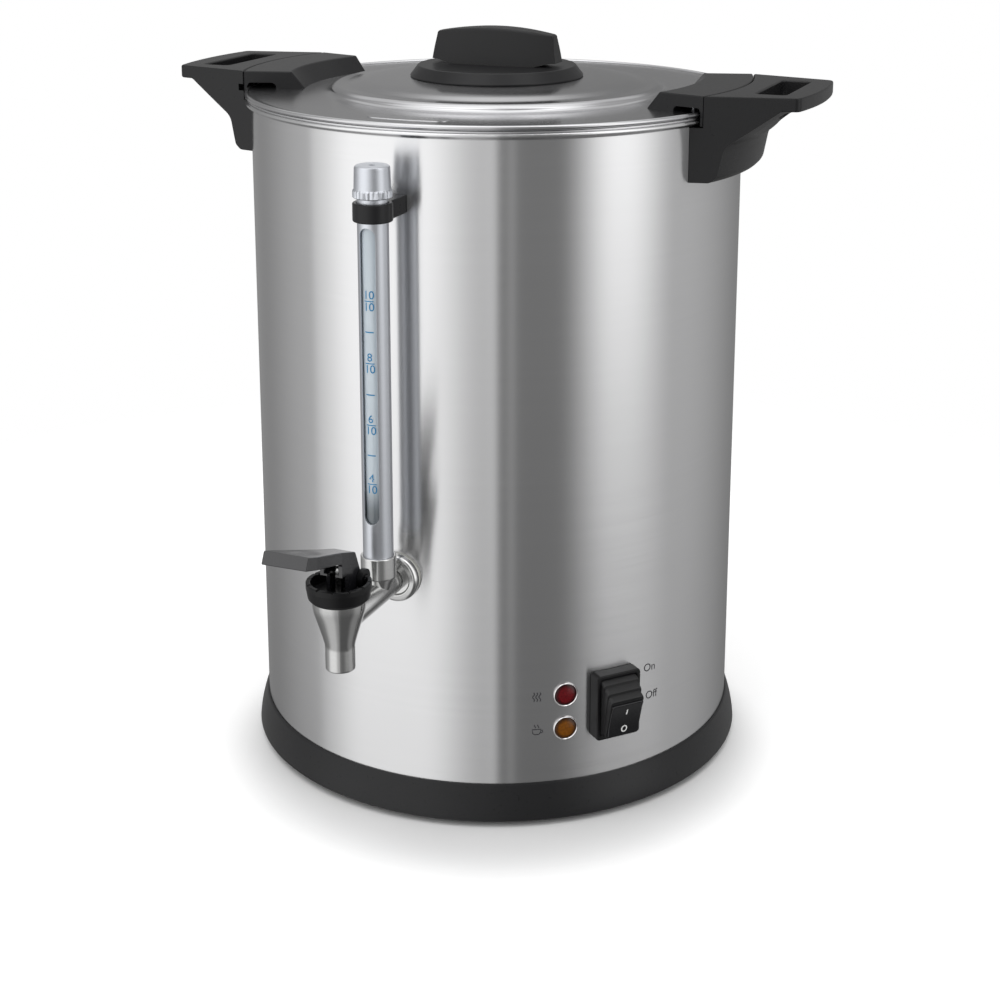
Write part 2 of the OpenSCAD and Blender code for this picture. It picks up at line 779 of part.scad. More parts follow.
module tap_body() {
    pipe_end = nut_y + tap_nut_t + 3;
    flare = pipe_d * 0.7;
    color(steel) difference() {
        union() {
            translate([0, 0, tap_z]) {
                rod_out(pipe_end, pipe_end - spout_y, pipe_d);
                rod_out(-body_r - tap_seat, tap_flange_t, tap_flange_d);
            }
            translate([0, gauge_y, tap_z]) {
                cylinder(d1 = pipe_d * 0.86, d2 = socket_d, h = flare);
                translate([0, 0, flare]) cylinder(d = socket_d, h = socket_up - flare);
            }
            translate([0, spout_y, 0]) rotate_extrude() polygon([
                [0, z_nozzle], [nozzle_d / 2, z_nozzle], [nozzle_d / 2, z_throat],
                [cup_d / 2 - 1.4, z_cup - 8], [cup_d / 2, z_cup],
                [neck_r, z_cup], [neck_r, z_neck], [0, z_neck]]);
        }
        translate([0, spout_y, 0]) rotate_extrude() polygon([
            [0, z_nozzle - cut], [nozzle_bore / 2, z_nozzle - cut], [nozzle_bore / 2, z_throat],
            [throat_d / 2, z_throat + 0.6], [throat_d / 2, z_seat], [neck_r - 5, z_seat],
            [neck_r - 1.6, z_cup - 2], [neck_r - 1.6, z_neck + cut], [0, z_neck + cut]]);
        translate([0, 0, tap_z]) rod_out(pipe_end + cut, pipe_end + cut - spout_y, pipe_bore);
        translate([0, gauge_y, tap_z]) cylinder(d = pipe_bore - 0.8, h = socket_up);
        translate([0, gauge_y, z_sleeve]) cylinder(d = gauge_d + hole_fit, h = socket_seat + cut);
        translate([0, gauge_y, z_sleeve - seal_h]) cylinder(d = gauge_in_d, h = seal_h + cut);
    }
}

// Soft washers: one between the tap's flange and the body, one between the tank and the nut
module tap_gaskets() {
    color(silicone) translate([0, 0, tap_z]) {
        difference() {
            rod_out(-body_r + 4, tap_seat + 4, tap_flange_d - 1);
            translate([0, 0, -tap_z]) wall_solid();
            rod_out(-body_r + 5, tap_seat + 10, pipe_d + hole_fit);
        }
        difference() {
            rod_out(nut_y, 8, tap_flange_d);
            translate([0, 0, -tap_z]) ring(body_r, tank_in_r - wall_fit, 0, z_rim, $fn = 288);
            rod_out(nut_y + cut, 12, pipe_d + hole_fit);
        }
    }
}

module tap_spacer() {
    color(plain_steel) translate([0, 0, tap_z]) difference() {
        intersection() {
            rod_out(-tank_r + 6, 20, tap_flange_d - 2);
            translate([0, 0, -tap_z])
                ring(body_r - shell_wall - wall_fit, tank_r + wall_fit, 0, z_rim, $fn = 288);
        }
        rod_out(-tank_r + 7, 24, pipe_d + hole_fit);
    }
}

module tap_nut() {
    color(plain_steel) translate([0, nut_y + tap_nut_t, tap_z]) rotate([90, 0, 0]) difference() {
        cylinder(d = tap_flange_d, h = tap_nut_t, $fn = 6);
        translate([0, 0, -cut]) cylinder(d = pipe_d + hole_fit, h = tap_nut_t + 2 * cut);
    }
}

module seat_plug() {
    color(silicone) translate([0, spout_y, plug_z]) difference() {
        cylinder(d = plug_d, h = plug_h);
        translate([0, 0, 2]) cylinder(d = stem_d + hole_fit, h = plug_h);
    }
}

module valve_stem() {
    color([0.8, 0.8, 0.82]) translate([0, spout_y, 0]) {
        translate([0, 0, plug_z + 2]) cylinder(d = stem_d, h = z_ball - plug_z - 2);
        translate([0, 0, z_ball]) sphere(d = ball_d);
    }
}

// Closing spring, between the plug and the bonnet
module valve_spring() {
    color(plain_steel) translate([0, spout_y, 0])
        ring(plug_d / 2 - 0.4, stem_d / 2 + 1.4, plug_z + plug_h, z_neck);
}

module bonnet_seal() {
    color(silicone) translate([0, spout_y, 0])
        ring(neck_r, stem_d / 2 + hole_fit, z_neck, z_cup_floor);
}

module tap_bonnet() {
    ear_back = pivot_back + pivot_r;
    bonnet_in = bonnet_top_d / 2 - 3.2;
    color(black) translate([0, spout_y, 0]) difference() {
        union() {
            difference() {
                rotate_extrude() polygon([
                    [neck_r + hole_fit, z_cup], [bonnet_d / 2, z_cup], [bonnet_top_d / 2, z_bonnet - 3],
                    [bonnet_top_d / 2, z_bonnet], [bonnet_in, z_bonnet], [bonnet_in, z_hub],
                    [stem_d / 2 + hole_fit, z_hub], [stem_d / 2 + hole_fit, z_cup_floor],
                    [neck_r + hole_fit, z_cup_floor]]);
                for (a = [15:30:345]) rotate([0, 0, a]) translate([0, bonnet_top_d / 2 + 3, z_bonnet + 0.4])
                    rotate([90, 0, 0]) cylinder(d = 2.6, h = 8);
                translate([-ear_in, pivot_back - 5, z_hub]) cube([2 * ear_in, 20, bonnet_h]);
            }
            for (side = [0, 1]) mirror([side, 0, 0]) translate([ear_in, 0, 0]) {
                translate([0, pivot_back, z_pivot]) rotate([0, 90, 0]) cylinder(r = ear_r, h = ear_t);
                translate([0, pivot_back - pivot_r, z_cup_floor])
                    cube([ear_t, 2 * pivot_r, z_pivot - z_cup_floor]);
            }
        }
        translate([0, pivot_back, z_pivot]) rotate([0, 90, 0])
            cylinder(d = pivot_d + pin_fit, h = 2 * ear_in + 4 * ear_t, center = true);
    }
}

module pivot_pin() {
    color(plain_steel) translate([0, spout_y + pivot_back, z_pivot]) rotate([0, 90, 0])
        cylinder(d = pivot_d, h = 2 * (ear_in + ear_t) + 0.8, center = true);
}

// Height of the lever's top, at a distance in front of the spout's axis
function lever_top(u) = z_bonnet + lever_rise + u * tan(lever_slope);

module lever() {
    drop = lever_t / cos(lever_slope);
    rear = -6.5;
    cheek = 8;
    z_cheek = z_hub + run_fit;
    cavity_w = lever_hub_w - 2 * lever_wall;
    cavity_rear = -4.2;
    slot_front = cheek + cut;
    color(black) difference() {
        intersection() {
            union() {
                side_plate(lever_w) polygon([
                    [rear, lever_top(rear)], [lever_l, lever_top(lever_l)],
                    [lever_l + 3, lever_top(lever_l) - drop], [cheek, lever_top(cheek) - drop],
                    [cheek, z_cheek], [-pivot_back + pivot_r, z_cheek], [-pivot_back, z_pivot - pivot_r],
                    [-pivot_back - pivot_r, z_pivot], [-pivot_back, z_pivot + pivot_r]]);
                side_plate(lever_w) translate([-pivot_back, z_pivot]) circle(r = pivot_r);
            }
            translate([0, spout_y, z_cup]) linear_extrude(100) polygon([
                [-lever_hub_w / 2, 20], [-lever_hub_w / 2, -cheek], [-lever_w / 2, -lever_l + 8],
                [-lever_w / 2, -lever_l - 4], [lever_w / 2, -lever_l - 4], [lever_w / 2, -lever_l + 8],
                [lever_hub_w / 2, -cheek], [lever_hub_w / 2, 20]]);
        }
        translate([0, spout_y, 0]) {
            translate([-cavity_w / 2, -cheek - cut, z_web])
                cube([cavity_w, cheek + cut - cavity_rear, ball_d + 1.1]);
            translate([-cavity_w / 2, -cheek - cut, z_cheek - cut])
                cube([cavity_w, cheek + cut - cavity_rear, z_web - lever_web_t - z_cheek + cut]);
            translate([-stem_d / 2 - run_fit, -slot_front, z_cheek])
                cube([stem_d + 2 * run_fit, slot_front + stem_d / 2 + 0.6, z_web - z_cheek + cut]);
            translate([0, pivot_back, z_pivot]) rotate([0, 90, 0])
                cylinder(d = pivot_d + pin_fit, h = lever_w + 2 * cut, center = true);
        }
    }
}

// Sight gauge

module sight_sleeve() {
    half = sight_w / 2;
    color(steel) translate([0, gauge_y, 0]) difference() {
        ring(gauge_d / 2, gauge_in_d / 2, z_sleeve, z_sleeve_top);
        translate([-half, -gauge_d, z_sight + half])
            cube([sight_w, gauge_d, z_sight_top - z_sight - sight_w]);
        for (z = [z_sight + half, z_sight_top - half])
            translate([0, 0, z]) rotate([90, 0, 0]) cylinder(d = sight_w, h = gauge_d);
    }
}

module sight_glass() {
    color([0.8, 0.9, 0.95]) translate([0, gauge_y, 0])
        ring(glass_d / 2, glass_d / 2 - glass_wall, z_sleeve, z_sleeve_top - seal_h);
}

module gauge_seals() {
    outer_r = (gauge_in_d - hole_fit) / 2;
    bore_r = glass_d / 2 - glass_wall;
    color(silicone) translate([0, gauge_y, 0]) {
        ring(outer_r, bore_r, z_sleeve - seal_h, z_sleeve);
        ring(outer_r, bore_r, z_sleeve_top - seal_h, z_sleeve_top);
    }
}

module sight_cap() {
    color(steel) translate([0, gauge_y, 0]) difference() {
        rotate_extrude() polygon([
            [0, z_cap], [cap_ring_d / 2, z_cap], [cap_ring_d / 2, z_cap + cap_ring_h],
            [cap_d / 2 + 0.4, z_cap + cap_ring_h + 0.6], [cap_d / 2, z_cap + cap_h - 1],
            [cap_d / 2 - 1, z_cap + cap_h], [0, z_cap + cap_h]]);
        translate([0, 0, z_cap - cut]) cylinder(d = gauge_d + 2 * run_fit, h = cap_cover + run_fit + cut);
        translate([0, 0, z_cap]) cylinder(d = vent_d, h = cap_h + cut);
        for (a = [0:12:348]) rotate([0, 0, a]) translate([cap_ring_d / 2, 0, z_cap - cut])
            cylinder(d = 1, h = cap_ring_h + cut, $fn = 16);
    }
}

module gauge_clamp() {
    color(black) difference() {
        union() {
            translate([0, gauge_y, z_clamp]) cylinder(d = clamp_d, h = clamp_h);
            translate([-clamp_arm_w / 2, gauge_y, z_clamp]) cube([clamp_arm_w, gauge_off + 2, clamp_h]);
        }
        wall_solid();
        translate([0, gauge_y, z_clamp - cut]) cylinder(d = gauge_d + hole_fit, h = clamp_h + 2 * cut);
        translate([0, 0, z_clamp + clamp_h / 2]) rod_out(-body_r + 4, 14.4, clamp_screw_d + hole_fit);
    }
}

module clamp_screw() {
    head_y = -sqrt(pow(body_r - shell_wall, 2) - pow(clamp_screw_d, 2)) + 0.1;
    color(plain_steel) translate([0, head_y, z_clamp + clamp_h / 2]) rotate([90, 0, 0])
        screw(clamp_screw_d, 10.5);
}

// Lid

module lid_pan() {
    hole_r = knob_screw_d / 2 + hole_fit;
    rise = lid_step_r - lid_ridge_r;
    top = [
        [bead_cr, z_lid], [lid_step_r, z_lid],
        [lid_step_r - rise * 0.25, z_lid + lid_step_h * 0.55],
        [lid_step_r - rise * 0.6, z_lid + lid_step_h * 0.92],
        [lid_ridge_r, z_lid + lid_step_h],
        [(lid_ridge_r + collar_d / 2) / 2, z_lid + lid_step_h + lid_dome_h * 0.6],
        [collar_d / 2 + 1, z_lid_top], [hole_r, z_lid_top]];
    under = [for (i = [len(top) - 1:-1:0]) [top[i][0], top[i][1] - lid_wall]];
    color(steel) difference() {
        union() {
            rotate_extrude() polygon(concat(top, under));
            rotate_extrude() translate([bead_cr, z_lid_bead]) circle(d = bead_d);
            ring(lid_plug_r, lid_plug_r - lid_wall, z_lid - lid_plug_h, z_lid - lid_wall / 2);
        }
        each_wing_screw() translate([0, 0, z_lid - 2 * lid_wall])
            cylinder(d = handle_screw_d + hole_fit, h = 3 * lid_wall);
    }
}

wing_r = body_r - wing_in / 2 - 2;
wing_screw_y = wing_in_w * 0.3;

// Places of the screws that hold the wings, seen from above
module each_wing_screw() {
    for (side = [-1, 1], y = [-1, 1])
        translate([side * sqrt(pow(wing_r, 2) - pow(wing_screw_y, 2)), y * wing_screw_y, 0]) children();
}

module lid_wing_right() {
    near = body_r - wing_in - wing_slope - 20;
    far = seam_r + 10;
    inner_x = sqrt(pow(body_r - wing_in, 2) - pow(wing_in_w / 2, 2));
    slope = (handle_w - wing_in_w) / 2 / (seam_x - inner_x);
    half_near = wing_in_w / 2 - (inner_x - near) * slope;
    half_far = wing_in_w / 2 + (far - inner_x) * slope;
    bead_in = bead_cr - bead_d / 2 - 1;
    z_over = z_lid_bead + bead_d / 2 + 0.4;
    lip_r = body_r + bead_out + 0.5;
    color(black) difference() {
        intersection() {
            rotate_extrude() polygon([
                [body_r - wing_in - wing_slope, z_lid], [bead_in, z_lid], [bead_in, z_over],
                [lip_r, z_over], [lip_r, z_ledge + 0.8], [wing_out_r, z_ledge + 0.8],
                [wing_out_r, z_handle], [body_r - wing_in, z_handle]]);
            translate([0, 0, z_ledge]) linear_extrude(z_handle - z_ledge + cut) polygon([
                [near, -half_near], [far, -half_far], [far, half_far], [near, half_near]]);
        }
        each_wing_screw() translate([0, 0, z_lid - cut])
            cylinder(d = handle_screw_d + hole_fit, h = cut + 6.2);
    }
}

module lid_wing_left() {
    mirror([1, 0, 0]) lid_wing_right();
}

module wing_screws() {
    color(plain_steel) each_wing_screw() translate([0, 0, z_lid - lid_wall]) screw(handle_screw_d, 6);
}

module knob_collar() {
    color(black) translate([0, 0, z_lid_top]) difference() {
        cylinder(d1 = collar_d, d2 = collar_top_d, h = collar_h);
        translate([0, 0, -cut]) cylinder(d = knob_screw_d + hole_fit, h = collar_h + 2 * cut);
    }
}

module knob_bar() {
    side_r = (pow(knob_l / 2, 2) + pow(knob_belly, 2)) / (2 * knob_belly);
    crown_r = (pow(knob_l / 2, 2) + pow(knob_crown, 2)) / (2 * knob_crown);
    end = 3;
    color([0.16, 0.16, 0.17]) translate([0, 0, z_collar]) difference() {
        intersection() {
            translate([0, knob_w / 2 - side_r, 0])
                cylinder(r1 = side_r, r2 = side_r - knob_taper, h = knob_h, $fn = 288);
            translate([0, side_r - knob_w / 2, 0])
                cylinder(r1 = side_r, r2 = side_r - knob_taper, h = knob_h, $fn = 288);
            rotate([90, 0, 0]) linear_extrude(2 * knob_w, center = true) polygon([
                [-knob_l / 2, 0], [knob_l / 2, 0], [knob_l / 2 - end, knob_h], [-knob_l / 2 + end, knob_h]]);
            translate([0, 0, knob_h - crown_r]) rotate([90, 0, 0])
                cylinder(r = crown_r, h = 2 * knob_w, center = true, $fn = 288);
        }
        translate([0, 0, -cut]) cylinder(d = knob_screw_d + hole_fit, h = cut + knob_h * 0.6);
    }
}

module knob_screw() {
    color(plain_steel) translate([0, 0, z_lid_top - lid_wall])
        screw(knob_screw_d, lid_wall + collar_h + knob_h * 0.5);
}

// Percolator insert

module pump_foot() {
    z0 = z_floor + run_fit;
    z1 = z0 + pump_h;
    r = pump_d / 2;
    neck = riser_d / 2 + 4;
    color(plain_steel) difference() {
        rotate_extrude() polygon([
            [0, z0], [r, z0], [r, z0 + 4], [neck, z1 - 3], [neck, z1], [0, z1]]);
        rotate_extrude() polygon([
            [0, z0 - cut], [r - basket_wall, z0 - cut], [r - basket_wall, z0 + 3],
            [riser_d / 2, z1 - 6], [0, z1 - 6]]);
        translate([0, 0, z0]) cylinder(d = riser_d + hole_fit, h = pump_h + cut);
        // Water inlets at the rim
        for (a = [0:60:300]) rotate([0, 0, a]) translate([0, 0, z0]) rotate([0, 90, 0])
            cylinder(d = 4, h = r + cut);
    }
}

module riser_tube() {
    color(plain_steel) {
        ring(riser_d / 2, riser_bore / 2, z_riser - 6, z_riser_top);
        ring(stop_d / 2, riser_d / 2 - 0.5, z_basket - stop_h, z_basket);
    }
}

// Holes on evenly spaced circles between two radii
module sieve(inner_r, outer_r, z) {
    for (i = [0:sieve_rows - 1]) {
        r = inner_r + (outer_r - inner_r) * i / (sieve_rows - 1);
        count = 6 + 4 * i;
        for (a = [0:count - 1]) rotate([0, 0, a * 360 / count]) translate([r, 0, z - cut])
            cylinder(d = sieve_d, h = basket_wall + 2 * cut, $fn = 24);
    }
}

module filter_basket() {
    r = basket_d / 2;
    sleeve_r = riser_d / 2 + run_fit;
    color(plain_steel) difference() {
        union() {
            ring(r, r - basket_wall, z_basket, z_basket_top);
            ring(r, sleeve_r, z_basket, z_basket + basket_wall);
            ring(sleeve_r + sleeve_wall, sleeve_r, z_basket, z_basket_top - 4);
        }
        sieve(riser_d / 2 + sieve_in, r - sieve_edge, z_basket);
    }
}

module basket_cover() {
    r = basket_d / 2;
    sleeve_r = riser_d / 2 + run_fit;
    lip = 3;
    lip_r = r - basket_wall - run_fit;
    color(plain_steel) difference() {
        union() {
            ring(r + 1, sleeve_r, z_basket_top + run_fit, z_basket_top + run_fit + basket_wall);
            ring(lip_r, lip_r - basket_wall, z_basket_top - lip, z_basket_top + run_fit);
        }
        sieve(riser_d / 2 + sieve_in, r - sieve_edge, z_basket_top + run_fit);
    }
}

body_shell();
inner_tank();
base_ring();
bottom_plate();
rubber_feet();
foot_screws();
heat_spreader();
heating_element();
thermostat();
boil_dry_cutout();
terminal_block();
mains_inlet();
inlet_pins();
handle_left();
handle_right();
handle_screws();
switch_bezel();
switch_boot();
switch_housing();
rocker();
lamp_bezels();
red_lens();
amber_lens();
lamp_bodies();
tap_body();
tap_gaskets();
tap_spacer();
tap_nut();
seat_plug();
valve_stem();
valve_spring();
bonnet_seal();
tap_bonnet();
pivot_pin();
lever();
sight_sleeve();
sight_glass();
gauge_seals();
sight_cap();
gauge_clamp();
clamp_screw();
lid_pan();
lid_wing_left();
lid_wing_right();
wing_screws();
knob_collar();
knob_bar();
knob_screw();
pump_foot();
riser_tube();
filter_basket();
basket_cover();
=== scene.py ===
"""Looks of the coffee urn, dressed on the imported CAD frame."""
import json
import logging
import math
from dataclasses import dataclass, field
from enum import Enum
from typing import Callable, ClassVar, Sequence, Union

import bmesh
import bpy
from mathutils import Matrix, Vector
from mathutils.bvhtree import BVHTree


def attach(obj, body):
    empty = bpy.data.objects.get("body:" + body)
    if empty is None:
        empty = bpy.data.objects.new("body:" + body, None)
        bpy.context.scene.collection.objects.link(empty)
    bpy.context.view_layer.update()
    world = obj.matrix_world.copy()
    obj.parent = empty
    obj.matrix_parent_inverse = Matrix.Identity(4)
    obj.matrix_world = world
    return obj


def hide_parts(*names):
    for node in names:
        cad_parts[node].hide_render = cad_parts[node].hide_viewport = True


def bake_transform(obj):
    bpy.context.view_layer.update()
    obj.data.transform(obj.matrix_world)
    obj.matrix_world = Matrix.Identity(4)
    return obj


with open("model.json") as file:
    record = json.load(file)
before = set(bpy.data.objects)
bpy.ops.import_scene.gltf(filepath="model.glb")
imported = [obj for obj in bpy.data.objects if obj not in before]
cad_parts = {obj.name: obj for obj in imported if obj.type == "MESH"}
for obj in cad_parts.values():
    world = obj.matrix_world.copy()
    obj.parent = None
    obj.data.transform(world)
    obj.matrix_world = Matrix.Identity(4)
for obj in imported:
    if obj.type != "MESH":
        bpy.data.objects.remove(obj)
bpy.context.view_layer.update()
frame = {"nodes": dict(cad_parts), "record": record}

LOG = logging.getLogger("coffee_urn")
MM = 0.001
Point = tuple[float, float]
Colour = tuple[float, float, float]
Value = Union[float, "Wire", Sequence[float]]


class Cut(Enum):
    """Ways to combine two solids."""

    JOIN = "UNION"
    CUT = "DIFFERENCE"
    KEEP = "INTERSECT"


class Grain(Enum):
    """Directions in which a metal's brush lines run."""

    AROUND = "around"
    SPUN = "spun"


@dataclass(frozen=True)
class Sizes:
    """Main sizes of the urn in millimetres, as in the CAD source."""

    body_r: float = 140.0
    gap: float = 0.15
    z_base: float = 3.0
    z_wall: float = 23.5
    z_rim: float = 383.5
    bead_cr: float = 142.1
    bead_r: float = 1.4
    z_lid: float = 386.4
    z_lid_top: float = 394.4
    z_collar: float = 400.9
    z_handle: float = 396.0
    z_grip: float = 388.6
    z_bracket: float = 350.0
    z_ledge: float = 379.2
    seam_r: float = 146.0
    seam_half: float = 50.0
    reach: float = 189.5
    tap_z: float = 141.6
    spout_y: float = -209.0
    gauge_y: float = -163.5
    z_cup: float = 155.3
    z_hub: float = 159.5
    z_bonnet: float = 165.4
    z_pivot: float = 163.3
    pivot_back: float = 12.0
    z_switch: float = 66.6
    switch_a: float = 49.2
    lamp_a: float = 37.8
    z_amber: float = 54.7
    z_red: float = 74.5

    @property
    def wall_r(self) -> float:
        """Return the radius at which pieces on the body wall begin."""
        return self.body_r + self.gap

    @property
    def seam_x(self) -> float:
        """Return how far out the ends of the seam between lid and handle lie."""
        return math.sqrt(self.seam_r ** 2 - self.seam_half ** 2)


S = Sizes()


def turned(angle: float, z: float = 0.0) -> Matrix:
    """Return the turn about the urn's axis, in degrees from the tap's side, and the lift to a height."""
    return Matrix.Rotation(math.radians(angle), 4, "Z") @ Matrix.Translation((0, 0, z))


def on_wall(angle: float, z: float) -> Matrix:
    """Return the place on the body wall for a piece that is drawn about Z, with its Z axis pointing out."""
    foot = turned(angle, z) @ Matrix.Translation((0, -S.body_r, 0))
    return foot @ Matrix.Rotation(math.radians(90), 4, "X")


def rectangle(x0: float, y0: float, x1: float, y1: float) -> list[Point]:
    """Return the corners of a rectangle between two of them."""
    return [(x0, y0), (x1, y0), (x1, y1), (x0, y1)]


def taper(x: float, start: Point, end: Point) -> float:
    """Return the height at x of the straight line through two points."""
    return start[1] + (x - start[0]) * ((end[1] - start[1]) / (end[0] - start[0]))


def fillet(points: Sequence[Point], radii: float | Sequence[float], steps: int = 6) -> list[Point]:
    """Round the corners of a closed outline.

    Args:
        points: Corners in order.
        radii: One radius for all corners, or one for each.
        steps: Straight pieces in each rounded corner.

    Returns:
        The outline with arcs at its corners.
    """
    count, flat, most = len(points), 0.05, 0.49
    sizes = [radii] * count if isinstance(radii, (int, float)) else list(radii)
    out: list[Point] = []
    for i, (corner, radius) in enumerate(zip(points, sizes)):
        p = Vector(corner)
        a = Vector(points[i - 1]) - p
        b = Vector(points[(i + 1) % count]) - p
        if radius <= 0 or not flat <= a.angle(b) <= math.pi - flat:
            out.append(tuple(corner))
            continue
        angle = a.angle(b)
        reach = min(radius / math.tan(angle / 2), a.length * most, b.length * most)
        r = reach * math.tan(angle / 2)
        middle = p + (a.normalized() + b.normalized()).normalized() * (r / math.sin(angle / 2))
        start = p + a.normalized() * reach - middle
        end = p + b.normalized() * reach - middle
        sweep = start.angle_signed(end)
        for k in range(steps + 1):
            turn = -sweep * k / steps
            c, s = math.cos(turn), math.sin(turn)
            out.append((middle.x + start.x * c - start.y * s, middle.y + start.x * s + start.y * c))
    return out


def arc(centre: Point, radius: float, start: float, end: float, steps: int = 12) -> list[Point]:
    """Return points of an arc between two angles in degrees."""
    turns = [math.radians(start + (end - start) * k / steps) for k in range(steps + 1)]
    return [(centre[0] + radius * math.cos(t), centre[1] + radius * math.sin(t)) for t in turns]


def smooth_curve(points: Sequence[Point], steps: int = 8) -> list[Point]:
    """Draw a smooth open curve through points.

    Args:
        points: Points on the curve.
        steps: Straight pieces between two points.

    Returns:
        Points of a Catmull-Rom curve.
    """
    ends = [points[0], *points, points[-1]]
    out: list[Point] = []
    for a, b, c, d in zip(ends, ends[1:], ends[2:], ends[3:]):
        for k in range(steps):
            t = k / steps
            out.append(tuple(0.5 * (2 * q + (r - p) * t + (2 * p - 5 * q + 4 * r - s) * t * t
                                    + (3 * q - p - 3 * r + s) * t ** 3)
                             for p, q, r, s in zip(a, b, c, d)))
    out.append(tuple(points[-1]))
    return out


def operator(kind: str, reflected: bool = False) -> Callable[["Wire", Value], "Wire"]:
    """Make an operator of a wire.

    Args:
        kind: The Math node's operation.
        reflected: Whether the wire is the second value.

    Returns:
        The operator's method.
    """
    def method(self: "Wire", other: Value) -> "Wire":
        """Add the Math node for two values."""
        values = (other, self) if reflected else (self, other)
        return self.paint.math(kind, *values)

    return method


class Wire:
    """A node socket that can be used in Python arithmetic."""

    __add__, __radd__ = operator("ADD"), operator("ADD", True)
    __sub__, __rsub__ = operator("SUBTRACT"), operator("SUBTRACT", True)
    __mul__, __rmul__ = operator("MULTIPLY"), operator("MULTIPLY", True)
    __truediv__, __rtruediv__ = operator("DIVIDE"), operator("DIVIDE", True)

    def __init__(self, paint: "Paint", socket: bpy.types.NodeSocket) -> None:
        """Keep the socket and the material it belongs to."""
        self.paint = paint
        self.socket = socket

    def __neg__(self) -> "Wire":
        """Change the sign."""
        return self * -1.0

    def smooth(self, low: float, high: float) -> "Wire":
        """Return a smooth step from 0 at low to 1 at high, or the reverse if low is the larger."""
        ends = (1.0, 0.0) if low > high else (0.0, 1.0)
        return self.paint.wire("ShaderNodeMapRange", {"interpolation_type": "SMOOTHSTEP"},
                               dict(enumerate((self, min(low, high), max(low, high), *ends))))

    def band(self, low: float, high: float, soft: float) -> "Wire":
        """Return 1 between two values, with soft edges."""
        return self.smooth(low - soft, low + soft) * self.smooth(high + soft, high - soft)


class Paint:
    """A node tree that is written in Python expressions."""

    def __init__(self, tree: bpy.types.NodeTree) -> None:
        """Start from an empty tree."""
        self.tree = tree
        tree.nodes.clear()

    def node(self, kind: str, settings: dict | None = None, inputs: dict | None = None) -> bpy.types.Node:
        """Add a node.

        Args:
            kind: The node's type.
            settings: Properties set before the sockets.
            inputs: Socket values or links by socket name or number.

        Returns:
            The new node.
        """
        made = self.tree.nodes.new(kind)
        for key, value in (settings or {}).items():
            setattr(made, key, value)
        for key, value in (inputs or {}).items():
            socket = made.inputs[key]
            if isinstance(value, Wire):
                self.tree.links.new(value.socket, socket)
            else:
                socket.default_value = value
        return made

    def wire(self, kind: str, settings: dict | None = None, inputs: dict | None = None,
             output: int | str = 0) -> Wire:
        """Add a node and return one of its outputs."""
        return Wire(self, self.node(kind, settings, inputs).outputs[output])

    def math(self, operation: str, *values: Value) -> Wire:
        """Add a maths node and return its result."""
        return self.wire("ShaderNodeMath", {"operation": operation}, dict(enumerate(values)))

    def length(self, x: Wire, y: Wire) -> Wire:
        """Return the length of a flat vector."""
        return self.math("SQRT", x * x + y * y)

    def mix(self, factor: Value, first: Value, second: Value) -> Wire:
        """Blend two colours."""
        return self.wire("ShaderNodeMix", {"data_type": "RGBA"}, {0: factor, 6: first, 7: second}, 2)

    def scaled(self, tint: Colour, tone: Wire) -> Wire:
        """Make a colour lighter or darker."""
        return self.wire("ShaderNodeVectorMath", {"operation": "SCALE"}, {0: tint, "Scale": tone})

    def split(self, output: str) -> list[Wire]:
        """Return the three values of one of the texture coordinates."""
        where = self.wire("ShaderNodeTexCoord", output=output)
        return [Wire(self, out) for out in self.node("ShaderNodeSeparateXYZ", inputs={0: where}).outputs]

    def place(self) -> list[Wire]:
        """Return the object coordinates in millimetres."""
        return [value * 1000.0 for value in self.split("Object")]

    def vector(self, x: Value, y: Value, z: Value) -> Wire:
        """Join three values in a vector."""
        return self.wire("ShaderNodeCombineXYZ", inputs={0: x, 1: y, 2: z})

    def noise(self, where: Wire, scale: float, detail: float = 3.0, rough: float = 0.55) -> Wire:
        """Return noise about 0.5 at a vector."""
        return self.wire("ShaderNodeTexNoise", inputs={"Vector": where, "Scale": scale, "Detail": detail,
                                                       "Roughness": rough})

    def bump(self, height: Wire, distance: float) -> Wire:
        """Return a normal bumped by a height, with its full height in millimetres."""
        return self.wire("ShaderNodeBump", inputs={"Height": height, "Distance": distance * MM,
                                                   "Strength": 1.0})


@dataclass(frozen=True)
class Finish:
    """A material that is made once, when it is first used.

    Attributes:
        name: The material's name.
        tint: Colour of the material.
        rough: Roughness about which it varies.
    """

    made: ClassVar[dict[str, bpy.types.Material]] = {}
    name: str
    tint: Colour
    rough: float

    def shade(self, paint: Paint) -> dict[str, Value]:
        """Return the Principled shader's socket values."""
        raise NotImplementedError

    def material(self) -> bpy.types.Material:
        """Make the finish's material, or find it.

        Returns:
            The material.
        """
        if self.name not in Finish.made:
            made = bpy.data.materials.new(self.name)
            made.use_nodes = True
            paint = Paint(made.node_tree)
            shader = paint.wire("ShaderNodeBsdfPrincipled", inputs=self.shade(paint))
            paint.node("ShaderNodeOutputMaterial", inputs={"Surface": shader})
            Finish.made[self.name] = made
        return Finish.made[self.name]


